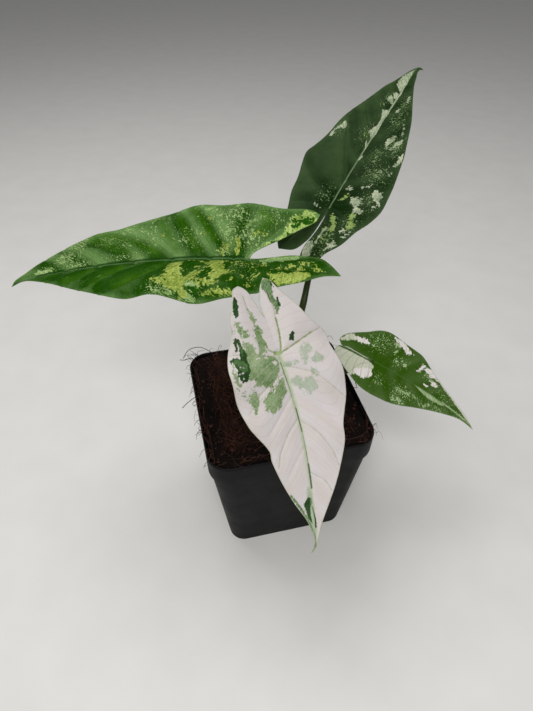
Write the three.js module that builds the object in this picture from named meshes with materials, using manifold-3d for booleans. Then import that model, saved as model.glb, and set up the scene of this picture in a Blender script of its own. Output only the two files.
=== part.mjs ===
// A variegated arrow-leaved alocasia with four leaves, growing in a square nursery pot of coir.
// Millimetres, +Z up. The origin is the middle of the pot's underside, and the viewer stands at -Y.
import * as THREE from "three";
import { mergeVertices } from "three/addons/utils/BufferGeometryUtils.js";
import Module from "manifold-3d";

const wasm = await Module();
wasm.setup();

// Pot: a thin tapered square with a deeper band round its rim.
const POT_HEIGHT = 87;
const RIM_WIDTH = 90;
const FOOT_WIDTH = 70;
const RIM_BAND = 13.6;
const BAND_STEP = 1.6;
const WALL = 1.2;
const FLOOR = 1.5;
const CORNER_RADIUS = 12;
const DRAIN_RADIUS = 4;
const DRAIN_OFFSET = 20;

// Substrate: a low mound of coir, higher towards the back left corner.
const SOIL_LEVEL = 86;
const SOIL_MOUND = 2.6;
const SOIL_CORNER_RISE = 2.2;
const FIBRE_COUNT = 70;
const FIBRE_RADIUS = 0.35;

// Crown: the swollen stem base that the leaf stalks grow from.
const CROWN_BOTTOM = 64;
const CROWN_TOP = 91.5;
const CROWN_RADIUS = 9.6;

// Leaf stalks and blades.
const STALK_BASE_RADIUS = 2.9;
const STALK_TOP_RADIUS = 1.5;
const BLADE_THICKNESS = 0.7;
const MIDRIB_ROUNDING = 1.5;
const GAP = 0.3;

// Each leaf: "midrib" is a Bezier curve from the stalk's joint to the tip. The outlines are flat
// points (x across, right hand looking to the tip; y along the midrib, 0 at the stalk), from the tip
// to the end of a rear lobe ("left", "right"), and from the notch to that end ("leftNotch", ...).
// "rise" is the angle of each half above the midrib, and "arch" bends it down towards the margin.
// "stalk" is the stalk's path from the crown to the joint.
const LEAVES = {
  left: {
    midrib: [[-13.5, 10, 172], [-52, 20, 172.5], [-90.5, 31, 166.5], [-127, 42, 154]],
    length: 120,
    halfWidth: 34,
    roll: 5,
    rise: { left: 18, right: 22 },
    arch: { left: 0.25, right: 0.08 },
    lobeDroop: -0.25,
    wave: { length: 30, left: 1.6, leftCrest: 36, right: 0.9, rightCrest: 28 },
    right: [
      [-3, 118], [1.5, 118], [5, 113], [10, 106], [15, 95.5], [19, 85], [23, 75], [22.5, 64], [24.5, 54],
      [28, 44], [29.5, 34], [32, 24], [32.5, 17], [31.5, 4], [30.5, -8], [28.5, -20], [26, -30], [22.5, -35],
    ],
    left: [
      [-3, 118], [-0.5, 112], [-5, 101], [-12.5, 87], [-18.5, 75], [-24, 64], [-26.5, 53], [-26.5, 42],
      [-30, 31], [-32.5, 17], [-32, 5], [-28, -4], [-24.5, -14], [-23, -24.5], [-19, -33.5], [-18.5, -38],
      [-19.5, -42.5],
    ],
    rightNotch: [[0, -1], [4.5, -5], [10, -15.5], [15, -25], [18.5, -32.5], [22.5, -35]],
    leftNotch: [
      [0, -1], [0, -6], [1, -14], [1.5, -22], [0, -30], [-3, -35], [-9.5, -38.5], [-19.5, -42.5],
    ],
    stalk: [[-4.5, 1.5, 78], [-5, 1, 92], [-8, -1, 116], [-13, 1, 138], [-15.3, 8, 153], [-13.5, 10, 172]],
  },
  back: {
    midrib: [[36, 36.5, 180], [57, 54, 199], [79.5, 74, 214.5], [102, 95.5, 226.5]],
    length: 100,
    halfWidth: 27,
    roll: -5,
    rise: { left: 15, right: 15 },
    arch: { left: 0.15, right: 0.15 },
    lobeDroop: 0.1,
    wave: { length: 28, left: 0.8, leftCrest: 22, right: 0.8, rightCrest: 8 },
    right: [
      [3.8, 99.3], [2.2, 99.2], [1.8, 97.5], [2, 95.5], [3, 92], [4.5, 86], [7.5, 78], [10, 72], [15, 60],
      [19, 47], [22, 37], [24, 26], [26, 13], [26.5, 5], [24, -2], [20, -9], [16.5, -18], [11, -25],
      [9, -31], [5, -37],
    ],
    left: [
      [3.8, 99.3], [2, 100.7], [0.3, 100.4], [-1, 98.8], [-3, 95], [-6.5, 86], [-9.5, 80], [-12.5, 71.5],
      [-18, 58], [-20.5, 48], [-22, 40], [-25, 29], [-26.5, 22], [-23.5, 8], [-22, -0.5], [-19, -10],
      [-17.5, -19], [-15.5, -27], [-12.5, -31.5],
    ],
    rightNotch: [[0, -2], [0.5, -8], [0.3, -13.5], [-0.5, -19], [-1.5, -24.5], [-0.5, -31], [5, -37]],
    leftNotch: [[0, -2], [0, -6], [-0.2, -10], [-0.7, -16.5], [-2, -22], [-5.5, -28.5], [-12.5, -31.5]],
    stalk: [
      [3.5, 5, 78], [4, 5, 92], [8.5, 4, 116], [15, 7, 142], [20, 15, 153], [33.5, 35, 170], [36, 36.5, 180],
    ],
  },
  front: {
    midrib: [[-9.3, -38.2, 153], [-2.3, -55.6, 130.1], [-1.4, -74.4, 104.8], [-5, -91.5, 76.5]],
    length: 93.5,
    halfWidth: 27,
    roll: 0,
    rise: { left: 12, right: 12 },
    arch: { left: 0.18, right: 0.18 },
    lobeDroop: -0.05,
    wave: { length: 26, left: 0.9, leftCrest: 14, right: 0.9, rightCrest: 4 },
    right: [
      [1.5, 93.5], [-0.5, 88.5], [0, 84.5], [3, 77], [8, 68.5], [12.5, 58], [15.5, 47.5], [16, 41.5],
      [20.5, 32.5], [23, 26.5], [25, 15.5], [25, 2.5], [24.5, -2.5], [22, -8.5], [17.5, -15.5],
      [16, -21.5], [12, -27.5], [10, -32], [7, -33],
    ],
    left: [
      [1.5, 93.5], [-1, 90], [-2, 86], [-4, 79], [-8, 70], [-13.5, 58.5], [-18.5, 46.5], [-19.5, 38.5],
      [-22, 33], [-25.5, 26.5], [-27, 16.5], [-25.5, 6], [-25.5, -0.5], [-20, -8.5], [-16, -17],
      [-10.5, -26], [-8, -30.5], [-5.5, -32.5],
    ],
    rightNotch: [[0, -16.5], [1, -20], [2, -24.5], [3.5, -29.5], [5.5, -32], [7, -33]],
    leftNotch: [[0, -16.5], [0, -21], [-1.5, -26], [-3, -29.5], [-5.5, -32.5]],
    stalk: [[-1.5, -5, 78], [-1.8, -5.5, 92], [-3.5, -13, 114], [-8.5, -27, 136], [-9.3, -38.2, 153]],
  },
  right: {
    midrib: [[51.5, -9.5, 110.5], [71, -19, 100.5], [89, -28.5, 88], [105.5, -38, 73.5]],
    length: 71.5,
    halfWidth: 20,
    roll: -30,
    rise: { left: 15, right: 15 },
    arch: { left: 0.15, right: 0.15 },
    lobeDroop: 0.1,
    wave: { length: 22, left: 0.6, leftCrest: 22, right: 0.6, rightCrest: 8 },
    right: [
      [1, 71.5], [1, 64], [2, 58], [4, 52], [8, 41], [12, 31], [15.5, 22], [17.5, 13], [18, 4],
      [16.5, -4], [13, -11.5], [8, -19], [5, -22.5],
    ],
    left: [
      [1, 71.5], [-0.5, 68], [-3, 61], [-5.5, 52], [-8, 43], [-12, 33.5], [-16, 25], [-17, 18],
      [-18.5, 5], [-17, -3], [-13, -9.5], [-8, -18], [-4.5, -21.5], [-2.3, -22],
    ],
    rightNotch: [[0, -1], [0.3, -5], [0, -11], [-0.2, -16], [0.5, -20.5], [2.5, -22], [5, -22.5]],
    leftNotch: [[0, -1], [-0.2, -5], [-0.5, -11], [-0.8, -16], [-0.2, -19.5], [-2.3, -22]],
    stalk: [
      [5, -2, 78], [6, -2.2, 91], [13, -6, 100], [24, -10.5, 105], [38, -9.5, 107], [51.5, -9.5, 110.5],
    ],
  },
};

// Loose fibres that have slid over the rim, each from its root in the coir to its free end.
const HANGING_FIBRES = [
  [[-38, 5, 86], [-43, 4, 90.5], [-49.5, 2, 88], [-52, 0, 80]],
  [[-38, -8, 86], [-43.5, -9, 90], [-49, -12, 87], [-50.5, -13, 76], [-49, -15, 70]],
  [[-36, -28, 85], [-42, -29, 90], [-48.5, -31, 87], [-50, -30, 78]],
  [[-30, -37, 85], [-31, -42.5, 90], [-33, -48.5, 87], [-35, -50, 79]],
  [[-37, 30, 87], [-43, 31, 92], [-50, 33, 90], [-53, 31, 84]],
  [[36, 8, 86], [43, 7, 90], [49.5, 5, 87], [51, 3, 80]],
];

const vector = ([x, y, z]) => new THREE.Vector3(x, y, z);
const lerp = THREE.MathUtils.lerp;

// A repeatable random number between 0 and 1 at each call.
function seededRandom(seed) {
  let state = seed;
  return () => {
    state = (state * 1664525 + 1013904223) % 4294967296;
    return state / 4294967296;
  };
}

function geometryFrom(points, faces) {
  const geometry = new THREE.BufferGeometry();
  geometry.setAttribute("position", new THREE.Float32BufferAttribute(points.flatMap((p) => p.toArray()), 3));
  geometry.setIndex(faces.flat());
  return geometry;
}

// Skins a stack of rings, counter-clockwise seen from the last one, and closes both ends.
function skinRings(rings) {
  const size = rings[0].length;
  const points = rings.flat();
  const faces = [];
  for (let i = 0; i < rings.length - 1; i++) {
    for (let j = 0; j < size; j++) {
      const a = i * size + j;
      const b = i * size + ((j + 1) % size);
      faces.push([a, b, b + size], [a, b + size, a + size]);
    }
  }
  const middle = (ring) => ring.reduce((sum, p) => sum.add(p), new THREE.Vector3()).divideScalar(size);
  const first = points.push(middle(rings[0])) - 1;
  const last = points.push(middle(rings.at(-1))) - 1;
  const lastRing = (rings.length - 1) * size;
  for (let j = 0; j < size; j++) {
    const next = (j + 1) % size;
    faces.push([first, next, j], [last, lastRing + j, lastRing + next]);
  }
  return geometryFrom(points, faces);
}

// A round rod along a curve, with its radius given at each fraction of the length.
function rod(path, radiusAt, sides, segments) {
  const curve = new THREE.CatmullRomCurve3(path.map(vector));
  const frames = curve.computeFrenetFrames(segments, false);
  const rings = [];
  for (let i = 0; i <= segments; i++) {
    const centre = curve.getPointAt(i / segments);
    const radius = radiusAt(i / segments);
    const ring = [];
    for (let j = 0; j < sides; j++) {
      const angle = (j / sides) * 2 * Math.PI;
      ring.push(
        centre.clone()
          .addScaledVector(frames.normals[i], radius * Math.cos(angle))
          .addScaledVector(frames.binormals[i], radius * Math.sin(angle)),
      );
    }
    rings.push(ring);
  }
  return skinRings(rings);
}

function solid(geometry) {
  const bare = geometry.clone();
  bare.deleteAttribute("normal");
  bare.deleteAttribute("uv");
  const merged = mergeVertices(bare, 1e-4);
  const vertProperties = new Float32Array(merged.attributes.position.array);
  const triVerts = new Uint32Array(merged.index.array);
  return new wasm.Manifold(new wasm.Mesh({ numProp: 3, vertProperties, triVerts }));
}

function geometryOf(body) {
  const { vertProperties, triVerts } = body.getMesh();
  const geometry = new THREE.BufferGeometry();
  geometry.setAttribute("position", new THREE.Float32BufferAttribute(vertProperties, 3));
  geometry.setIndex(new THREE.Uint32BufferAttribute(triVerts, 1));
  return geometry;
}

// One level of a square with rounded corners.
function roundedSquare(width, radius, z, cornerSteps = 5) {
  const ring = [];
  for (let corner = 0; corner < 4; corner++) {
    const start = (corner * Math.PI) / 2;
    const reach = width / 2 - radius;
    const cx = reach * Math.sign(Math.cos(start + Math.PI / 4));
    const cy = reach * Math.sign(Math.sin(start + Math.PI / 4));
    for (let step = 0; step <= cornerSteps; step++) {
      const angle = start + (step / cornerSteps) * (Math.PI / 2);
      ring.push(new THREE.Vector3(cx + radius * Math.cos(angle), cy + radius * Math.sin(angle), z));
    }
  }
  return ring;
}

function cylinder(radius, bottom, top, x = 0, y = 0, sides = 16) {
  const geometry = new THREE.CylinderGeometry(radius, radius, top - bottom, sides);
  geometry.rotateX(Math.PI / 2);
  geometry.translate(x, y, (top + bottom) / 2);
  return geometry;
}

// The pot's outside width at a height, below the rim band.
function wallWidth(z) {
  return lerp(FOOT_WIDTH, RIM_WIDTH - 2 * BAND_STEP, z / (POT_HEIGHT - RIM_BAND));
}

function potGeometry() {
  const bandFoot = POT_HEIGHT - RIM_BAND;
  const rings = [
    roundedSquare(FOOT_WIDTH - 2, CORNER_RADIUS - 4, 0),
    roundedSquare(wallWidth(1), CORNER_RADIUS - 3, 1),
    roundedSquare(wallWidth(bandFoot - 0.6), CORNER_RADIUS - 1, bandFoot - 0.6),
    roundedSquare(RIM_WIDTH - 1, CORNER_RADIUS, bandFoot),
    roundedSquare(RIM_WIDTH, CORNER_RADIUS, POT_HEIGHT - 0.5),
    roundedSquare(RIM_WIDTH - 1, CORNER_RADIUS - 0.5, POT_HEIGHT),
    roundedSquare(RIM_WIDTH - 2 * WALL, CORNER_RADIUS - WALL, POT_HEIGHT - 0.5),
    roundedSquare(RIM_WIDTH - 2 * WALL - 0.8, CORNER_RADIUS - WALL, bandFoot + 1),
    roundedSquare(wallWidth(bandFoot - 1) - 2 * WALL, CORNER_RADIUS - 1 - WALL, bandFoot - 1),
    roundedSquare(wallWidth(FLOOR) - 2 * WALL, CORNER_RADIUS - 3 - WALL, FLOOR),
  ];
  let body = solid(skinRings(rings));
  for (const x of [-DRAIN_OFFSET, DRAIN_OFFSET]) {
    for (const y of [-DRAIN_OFFSET, DRAIN_OFFSET]) {
      body = body.subtract(solid(cylinder(DRAIN_RADIUS, -1, FLOOR + 1, x, y)));
    }
  }
  return geometryOf(body);
}

// The coir's upper surface: a low mound, a rise to the back left corner, and small lumps.
function soilHeight(x, y) {
  const half = RIM_WIDTH / 2;
  const mound = SOIL_MOUND * (1 - (x * x + y * y) / (2 * half * half));
  const corner = SOIL_CORNER_RISE * Math.max(0, (y - x) / (2 * half));
  const lumps = 0.6 * Math.sin(x / 4.1 + 1.3) * Math.cos(y / 3.7) + 0.4 * Math.sin((x + 2 * y) / 5.3);
  return SOIL_LEVEL + mound + corner + lumps;
}

function fibre(path) {
  return solid(rod(path, () => FIBRE_RADIUS, 3, 5));
}

// Short curly fibres that lie on the mound: each leaves it, turns through an arc and dips back.
function lyingFibres() {
  const random = seededRandom(7);
  const reach = RIM_WIDTH / 2 - 7;
  const fibres = [];
  while (fibres.length < FIBRE_COUNT) {
    const x = lerp(-reach, reach, random());
    const y = lerp(-reach, reach, random());
    const heading = random() * 2 * Math.PI;
    const turn = lerp(-1.4, 1.4, random());
    const length = lerp(9, 20, random());
    const lift = lerp(1, 3.5, random());
    const path = [0, 1, 2, 3].map((k) => {
      const along = (k / 3) * length;
      const angle = heading + (turn * k) / 3;
      const px = x + along * Math.cos(angle);
      const py = y + along * Math.sin(angle);
      return [px, py, soilHeight(px, py) + [-1.5, lift, lift * 0.8, -0.4][k]];
    });
    const clearOfCrown = path.every(([px, py]) => Math.hypot(px, py) > CROWN_RADIUS + 6);
    const insideRim = path.every(([px, py]) => Math.max(Math.abs(px), Math.abs(py)) < RIM_WIDTH / 2 - 4);
    if (clearOfCrown && insideRim) {
      fibres.push(fibre(path));
    }
  }
  return fibres;
}

function substrateGeometry() {
  const inner = (z) => wallWidth(z) - 2 * WALL - 2 * GAP;
  const bandFoot = POT_HEIGHT - RIM_BAND;
  const edge = RIM_WIDTH - 2 * WALL - 2 * GAP - 1;
  const radius = CORNER_RADIUS - WALL - GAP;
  const rings = [
    roundedSquare(inner(FLOOR) - 0.4, radius - 3, FLOOR + GAP),
    roundedSquare(inner(bandFoot - 1.5) - 0.4, radius - 1, bandFoot - 1.5),
    roundedSquare(edge - 0.6, radius, bandFoot + 1.5),
    roundedSquare(edge, radius, POT_HEIGHT - 2.5),
  ];
  for (const share of [0.96, 0.86, 0.72, 0.56, 0.38]) {
    const ring = roundedSquare(edge * share, radius * share, 0);
    rings.push(ring.map((p) => new THREE.Vector3(p.x, p.y, soilHeight(p.x, p.y))));
  }
  const fibres = [...lyingFibres(), ...HANGING_FIBRES.map(fibre)];
  let body = solid(skinRings(rings));
  body = fibres.reduce((sum, one) => sum.add(one), body);
  const hole = solid(cylinder(CROWN_RADIUS + GAP, CROWN_BOTTOM - GAP, POT_HEIGHT + 20, 0, 0, 24));
  return geometryOf(body.subtract(hole));
}

function stalkGeometry(leaf, extra = 0) {
  const radiusAt = (t) => lerp(STALK_BASE_RADIUS, STALK_TOP_RADIUS, Math.min(1, t / 0.7)) + extra;
  return rod(leaf.stalk, radiusAt, 10, 18);
}

// The stalk ends just under the blade, so it is cut off by a block on the blade's underside.
function trimmedStalk(leaf) {
  const { across, along, up } = leafAxes(leaf, 0);
  const block = new THREE.BoxGeometry(16, 16, 12);
  const turn = new THREE.Matrix4().makeBasis(across, along, up);
  const joint = leafPoint(leaf, 0, 0);
  const centre = joint.addScaledVector(up, 6 - BLADE_THICKNESS - GAP);
  block.applyMatrix4(turn.setPosition(centre));
  return geometryOf(solid(stalkGeometry(leaf)).subtract(solid(block)));
}

function crownGeometry() {
  const profile = [
    [5, CROWN_BOTTOM], [8, CROWN_BOTTOM + 4], [CROWN_RADIUS, CROWN_BOTTOM + 12],
    [CROWN_RADIUS, CROWN_TOP - 7], [8.4, CROWN_TOP - 2.5], [6.5, CROWN_TOP],
  ];
  const ringAt = ([radius, z]) => {
    const ring = [];
    for (let j = 0; j < 20; j++) {
      const angle = (j / 20) * 2 * Math.PI;
      const lobed = radius * (1 - 0.03 * (1 + Math.cos(4 * angle)));
      ring.push(new THREE.Vector3(lobed * Math.cos(angle), lobed * Math.sin(angle), z));
    }
    return ring;
  };
  let body = solid(skinRings(profile.map(ringAt)));
  for (const leaf of Object.values(LEAVES)) {
    body = body.subtract(solid(stalkGeometry(leaf, GAP)));
  }
  return geometryOf(body);
}

// Directions at a place along the midrib: across to the right, along to the tip, and up.
function leafAxes(leaf, y) {
  const curve = new THREE.CubicBezierCurve3(...leaf.midrib.map(vector));
  const along = curve.getTangent(THREE.MathUtils.clamp(y / leaf.length, 0, 1));
  const level = new THREE.Vector3().crossVectors(along, new THREE.Vector3(0, 0, 1)).normalize();
  const across = level.applyAxisAngle(along, THREE.MathUtils.degToRad(-leaf.roll));
  const up = new THREE.Vector3().crossVectors(across, along);
  return { across, along, up };
}

// Where the flat point (x, y) of a leaf's outline lies on the bent, folded and waved blade.
function leafPoint(leaf, x, y) {
  const side = x < 0 ? "left" : "right";
  const curve = new THREE.CubicBezierCurve3(...leaf.midrib.map(vector));
  const { across, along, up } = leafAxes(leaf, y);
  const share = THREE.MathUtils.clamp(y / leaf.length, 0, 1);
  const point = curve.getPoint(share);
  point.addScaledVector(along, Math.min(y, 0) + Math.max(y - leaf.length, 0));
  const slope = Math.tan(THREE.MathUtils.degToRad(leaf.rise[side])) * (1 - 0.6 * share);
  const spread = Math.hypot(x, MIDRIB_ROUNDING) - MIDRIB_ROUNDING;
  const phase = (2 * Math.PI * (y - leaf.wave[`${side}Crest`])) / leaf.wave.length;
  const waveShare = Math.min(Math.abs(x) / leaf.halfWidth, 1.2) ** 2;
  let height = slope * spread - (leaf.arch[side] * x * x) / leaf.halfWidth;
  height -= (leaf.lobeDroop * Math.min(y, 0) ** 2) / leaf.length;
  height += leaf.wave[side] * waveShare * Math.cos(phase);
  return point.addScaledVector(across, x).addScaledVector(up, height);
}

function leafNormal(leaf, x, y) {
  const step = 0.5;
  const dx = leafPoint(leaf, x + step, y).sub(leafPoint(leaf, x - step, y));
  const dy = leafPoint(leaf, x, y + step).sub(leafPoint(leaf, x, y - step));
  return dx.cross(dy).normalize();
}

function smoothLine(points) {
  return new THREE.CatmullRomCurve3(points.map(([x, y]) => new THREE.Vector3(x, y, 0)), false, "catmullrom");
}

// The fraction of a margin's length at which it comes down to the height y.
function shareAtHeight(line, y) {
  let share = 0;
  while (line.getPointAt(share).y > y && share < 0.99) {
    share += 0.005;
  }
  return share;
}

// The flat blade as a grid between midrib and margins: rows run from the tip to the notch, where
// both halves share the midrib, and then along each rear lobe.
function bladeSheet(leaf, midribRows = 26, lobeRows = 8, columns = 5) {
  const points = [];
  const faces = [];
  const places = new Map();
  const place = (p) => {
    const key = `${p.x.toFixed(3)},${p.y.toFixed(3)}`;
    if (!places.has(key)) {
      places.set(key, points.push(new THREE.Vector2(p.x, p.y)) - 1);
    }
    return places.get(key);
  };
  const margins = { left: smoothLine(leaf.left), right: smoothLine(leaf.right) };
  const notch = leaf.leftNotch[0][1];
  const atNotch = {};
  for (const side of ["left", "right"]) {
    atNotch[side] = shareAtHeight(margins[side], notch + 0.06 * leaf.length);
  }
  const midribPoint = (row) => {
    const share = row / midribRows;
    const ends = ["left", "right"].map((side) => margins[side].getPointAt(share * atNotch[side]));
    const between = ends[0].add(ends[1]).multiplyScalar(0.5);
    const onMidrib = new THREE.Vector3(0, lerp(leaf.length, notch, share), 0);
    return onMidrib.lerp(between, Math.max(0, 1 - share / 0.25) ** 2);
  };
  for (const side of ["left", "right"]) {
    const lobe = smoothLine(leaf[`${side}Notch`]);
    const rows = [];
    for (let row = 0; row <= midribRows + lobeRows; row++) {
      const onLobe = Math.max(0, row - midribRows) / lobeRows;
      const inner = row <= midribRows ? midribPoint(row) : lobe.getPointAt(onLobe);
      const share = Math.min(1, row / midribRows) * atNotch[side] + onLobe * (1 - atNotch[side]);
      const outer = margins[side].getPointAt(Math.min(1, share));
      const line = [];
      for (let column = 0; column <= columns; column++) {
        line.push(place(inner.clone().lerp(outer, column / columns)));
      }
      rows.push(line);
    }
    for (let row = 0; row < rows.length - 1; row++) {
      for (let column = 0; column < columns; column++) {
        const [a, b] = [rows[row][column], rows[row][column + 1]];
        const [c, d] = [rows[row + 1][column + 1], rows[row + 1][column]];
        const turned = side === "left" ? [[a, b, c], [a, c, d]] : [[a, c, b], [a, d, c]];
        faces.push(...turned.filter((face) => new Set(face).size === 3));
      }
    }
  }
  return { points, faces };
}

// Both faces of the blade share one pattern of triangles, joined by a wall round the margin.
function bladeGeometry(leaf) {
  const { points, faces } = bladeSheet(leaf);
  const count = points.length;
  const upper = points.map((p) => leafPoint(leaf, p.x, p.y));
  const lower = points.map((p, i) => {
    return upper[i].clone().addScaledVector(leafNormal(leaf, p.x, p.y), -BLADE_THICKNESS);
  });
  const edges = new Set(faces.flatMap(([a, b, c]) => [`${a},${b}`, `${b},${c}`, `${c},${a}`]));
  const all = [];
  for (const [a, b, c] of faces) {
    all.push([a, b, c], [a + count, c + count, b + count]);
    for (const [from, to] of [[a, b], [b, c], [c, a]]) {
      if (!edges.has(`${to},${from}`)) {
        all.push([from, from + count, to + count], [from, to + count, to]);
      }
    }
  }
  return geometryFrom([...upper, ...lower], all);
}

const MATERIALS = {
  pot: new THREE.MeshStandardMaterial({ color: 0x0b0b0c, roughness: 0.55, metalness: 0 }),
  substrate: new THREE.MeshStandardMaterial({ color: 0x3a1f16, roughness: 0.95, metalness: 0 }),
  crown: new THREE.MeshStandardMaterial({ color: 0x6b5a3a, roughness: 0.8, metalness: 0 }),
  stalk: new THREE.MeshStandardMaterial({ color: 0x7a8a3c, roughness: 0.5, metalness: 0 }),
  greenBlade: new THREE.MeshStandardMaterial({ color: 0x43722a, roughness: 0.45, metalness: 0 }),
  whiteBlade: new THREE.MeshStandardMaterial({ color: 0xdcd6d4, roughness: 0.5, metalness: 0 }),
};

const group = new THREE.Group();
group.name = "potted_alocasia";

function addPart(name, geometry, material) {
  const mesh = new THREE.Mesh(geometry, material);
  mesh.name = name;
  geometry.computeVertexNormals();
  group.add(mesh);
}

addPart("pot", potGeometry(), MATERIALS.pot);
addPart("substrate", substrateGeometry(), MATERIALS.substrate);
addPart("crown", crownGeometry(), MATERIALS.crown);
for (const [name, leaf] of Object.entries(LEAVES)) {
  const material = name === "front" ? MATERIALS.whiteBlade : MATERIALS.greenBlade;
  addPart(`petiole_${name}`, trimmedStalk(leaf), MATERIALS.stalk);
  addPart(`blade_${name}`, bladeGeometry(leaf), material);
}

export default group;
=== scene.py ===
import math

import bpy
import numpy as np
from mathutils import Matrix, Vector


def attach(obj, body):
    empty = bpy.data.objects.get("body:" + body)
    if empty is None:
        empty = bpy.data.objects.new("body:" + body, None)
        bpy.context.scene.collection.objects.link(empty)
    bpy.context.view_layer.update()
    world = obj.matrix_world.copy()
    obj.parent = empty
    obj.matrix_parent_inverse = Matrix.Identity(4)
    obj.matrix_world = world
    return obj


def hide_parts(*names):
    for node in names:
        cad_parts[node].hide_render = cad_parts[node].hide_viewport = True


# The looks of a variegated arrow-leaved alocasia with four leaves in a square nursery pot of coir.
# Shapes are worked out in millimetres, in the frame of the part, and turned to metres as they are made.
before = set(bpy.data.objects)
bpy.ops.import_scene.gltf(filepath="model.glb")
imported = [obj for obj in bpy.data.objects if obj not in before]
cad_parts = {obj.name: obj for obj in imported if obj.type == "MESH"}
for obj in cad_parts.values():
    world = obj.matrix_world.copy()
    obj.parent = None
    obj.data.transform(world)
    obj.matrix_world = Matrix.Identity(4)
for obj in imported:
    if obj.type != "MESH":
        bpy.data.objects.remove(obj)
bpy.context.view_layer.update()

MM = 0.001
TURN = 2 * math.pi

# Pot and coir, as in the part.
POT_HEIGHT = 87
RIM_WIDTH = 90
FOOT_WIDTH = 70
RIM_BAND = 13.6
BAND_STEP = 1.6
WALL = 1.2
FLOOR = 1.5
CORNER_RADIUS = 12
DRAIN_RADIUS = 4
DRAIN_OFFSET = 20
SOIL_LEVEL = 86
SOIL_MOUND = 2.6
SOIL_CORNER_RISE = 2.2
CROWN_BOTTOM = 64
CROWN_TOP = 91.5
CROWN_RADIUS = 9.6
GAP = 0.3

# Finer forms of the pot, of the sheaths, whose tops are in the order of the leaves, and of the coir.
CORNER_POINTS = 18
WALL_BOW = 0.35
DRAIN_POINTS = 28
MOULD_EDGE_ANGLE = 34
SHEATH_BOTTOM = 88
SHEATH_TOPS = (107, 103, 105, 98)
FIBRE_INSET = 3.2
CRUMB_INSET = 3
FIBRE_CURL = 1.3
TANGLE_CURL = 1.1
TANGLE_OVERHANG = 4

# Stalks and blades. The real blade is thinner than the part's solid one.
STALK_BASE_RADIUS = 2.9
STALK_TOP_RADIUS = 1.5
STALK_TAPER_SHARE = 0.7
STALK_LENGTH = 110
MIDRIB_ROUNDING = 1.5
BLADE_CENTRE_THICKNESS = 0.5
BLADE_MARGIN_THICKNESS = 0.28
BLADE_EDGE_BULGE = 0.12
MIDRIB_ROWS = 210
LOBE_ROWS = 70
COLUMNS = 52
SIDES = ("right", "left")

# The relief of a blade in millimetres: how far each form reaches as a bell curve, and how deep it is.
PUFF_REACH = 4.5
MIDRIB_FLAT = 5
MARGIN_FLAT = 5
CREASE_REACH = 0.8
CREASE_DEPTH = 0.35
CREASE_AT_MARGIN = 0.35
CHANNEL_REACH = 1.1
CHANNEL_DEPTH = 0.35
MIDRIB_RIB_DEPTH = 1.5
MIDRIB_RIB_REACH = 0.35
MIDRIB_RIB_GROWTH = 1.3
VEIN_RIB_REACH = 0.55
VEIN_RIB_DEPTH = 0.45
SLOPE_STEP = 0.3

# Side veins by rule bend towards the tip by this much over half a blade's width, as a share of it.
VEIN_BEND = 0.45

# No mark counts as deeper than this, so that the noise can break it up anywhere, and none as lying
# further off than this.
MARK_DEPTH = 1.7
MARK_FAR = 6

# Where flecks start: the depth that the noise has to lift over the edge, in millimetres.
FLECK_DEPTH = 2.4

# The coloured lines of veins and margin, and where the painted reflection changes (the light's grey-green
# reflection on the waxy blade, painted into its colour), in millimetres: how far its swing fades in the
# lobes, how wide the margin's is, and the joint's, in square millimetres.
VEIN_HALF_WIDTH = 0.16
MARGIN_LINE_WIDTH = 0.2
SWING_FADE = 12
EDGE_PAINTED_SHEEN_REACH = 2
JOINT_PAINTED_SHEEN_SPREAD = 120

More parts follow.
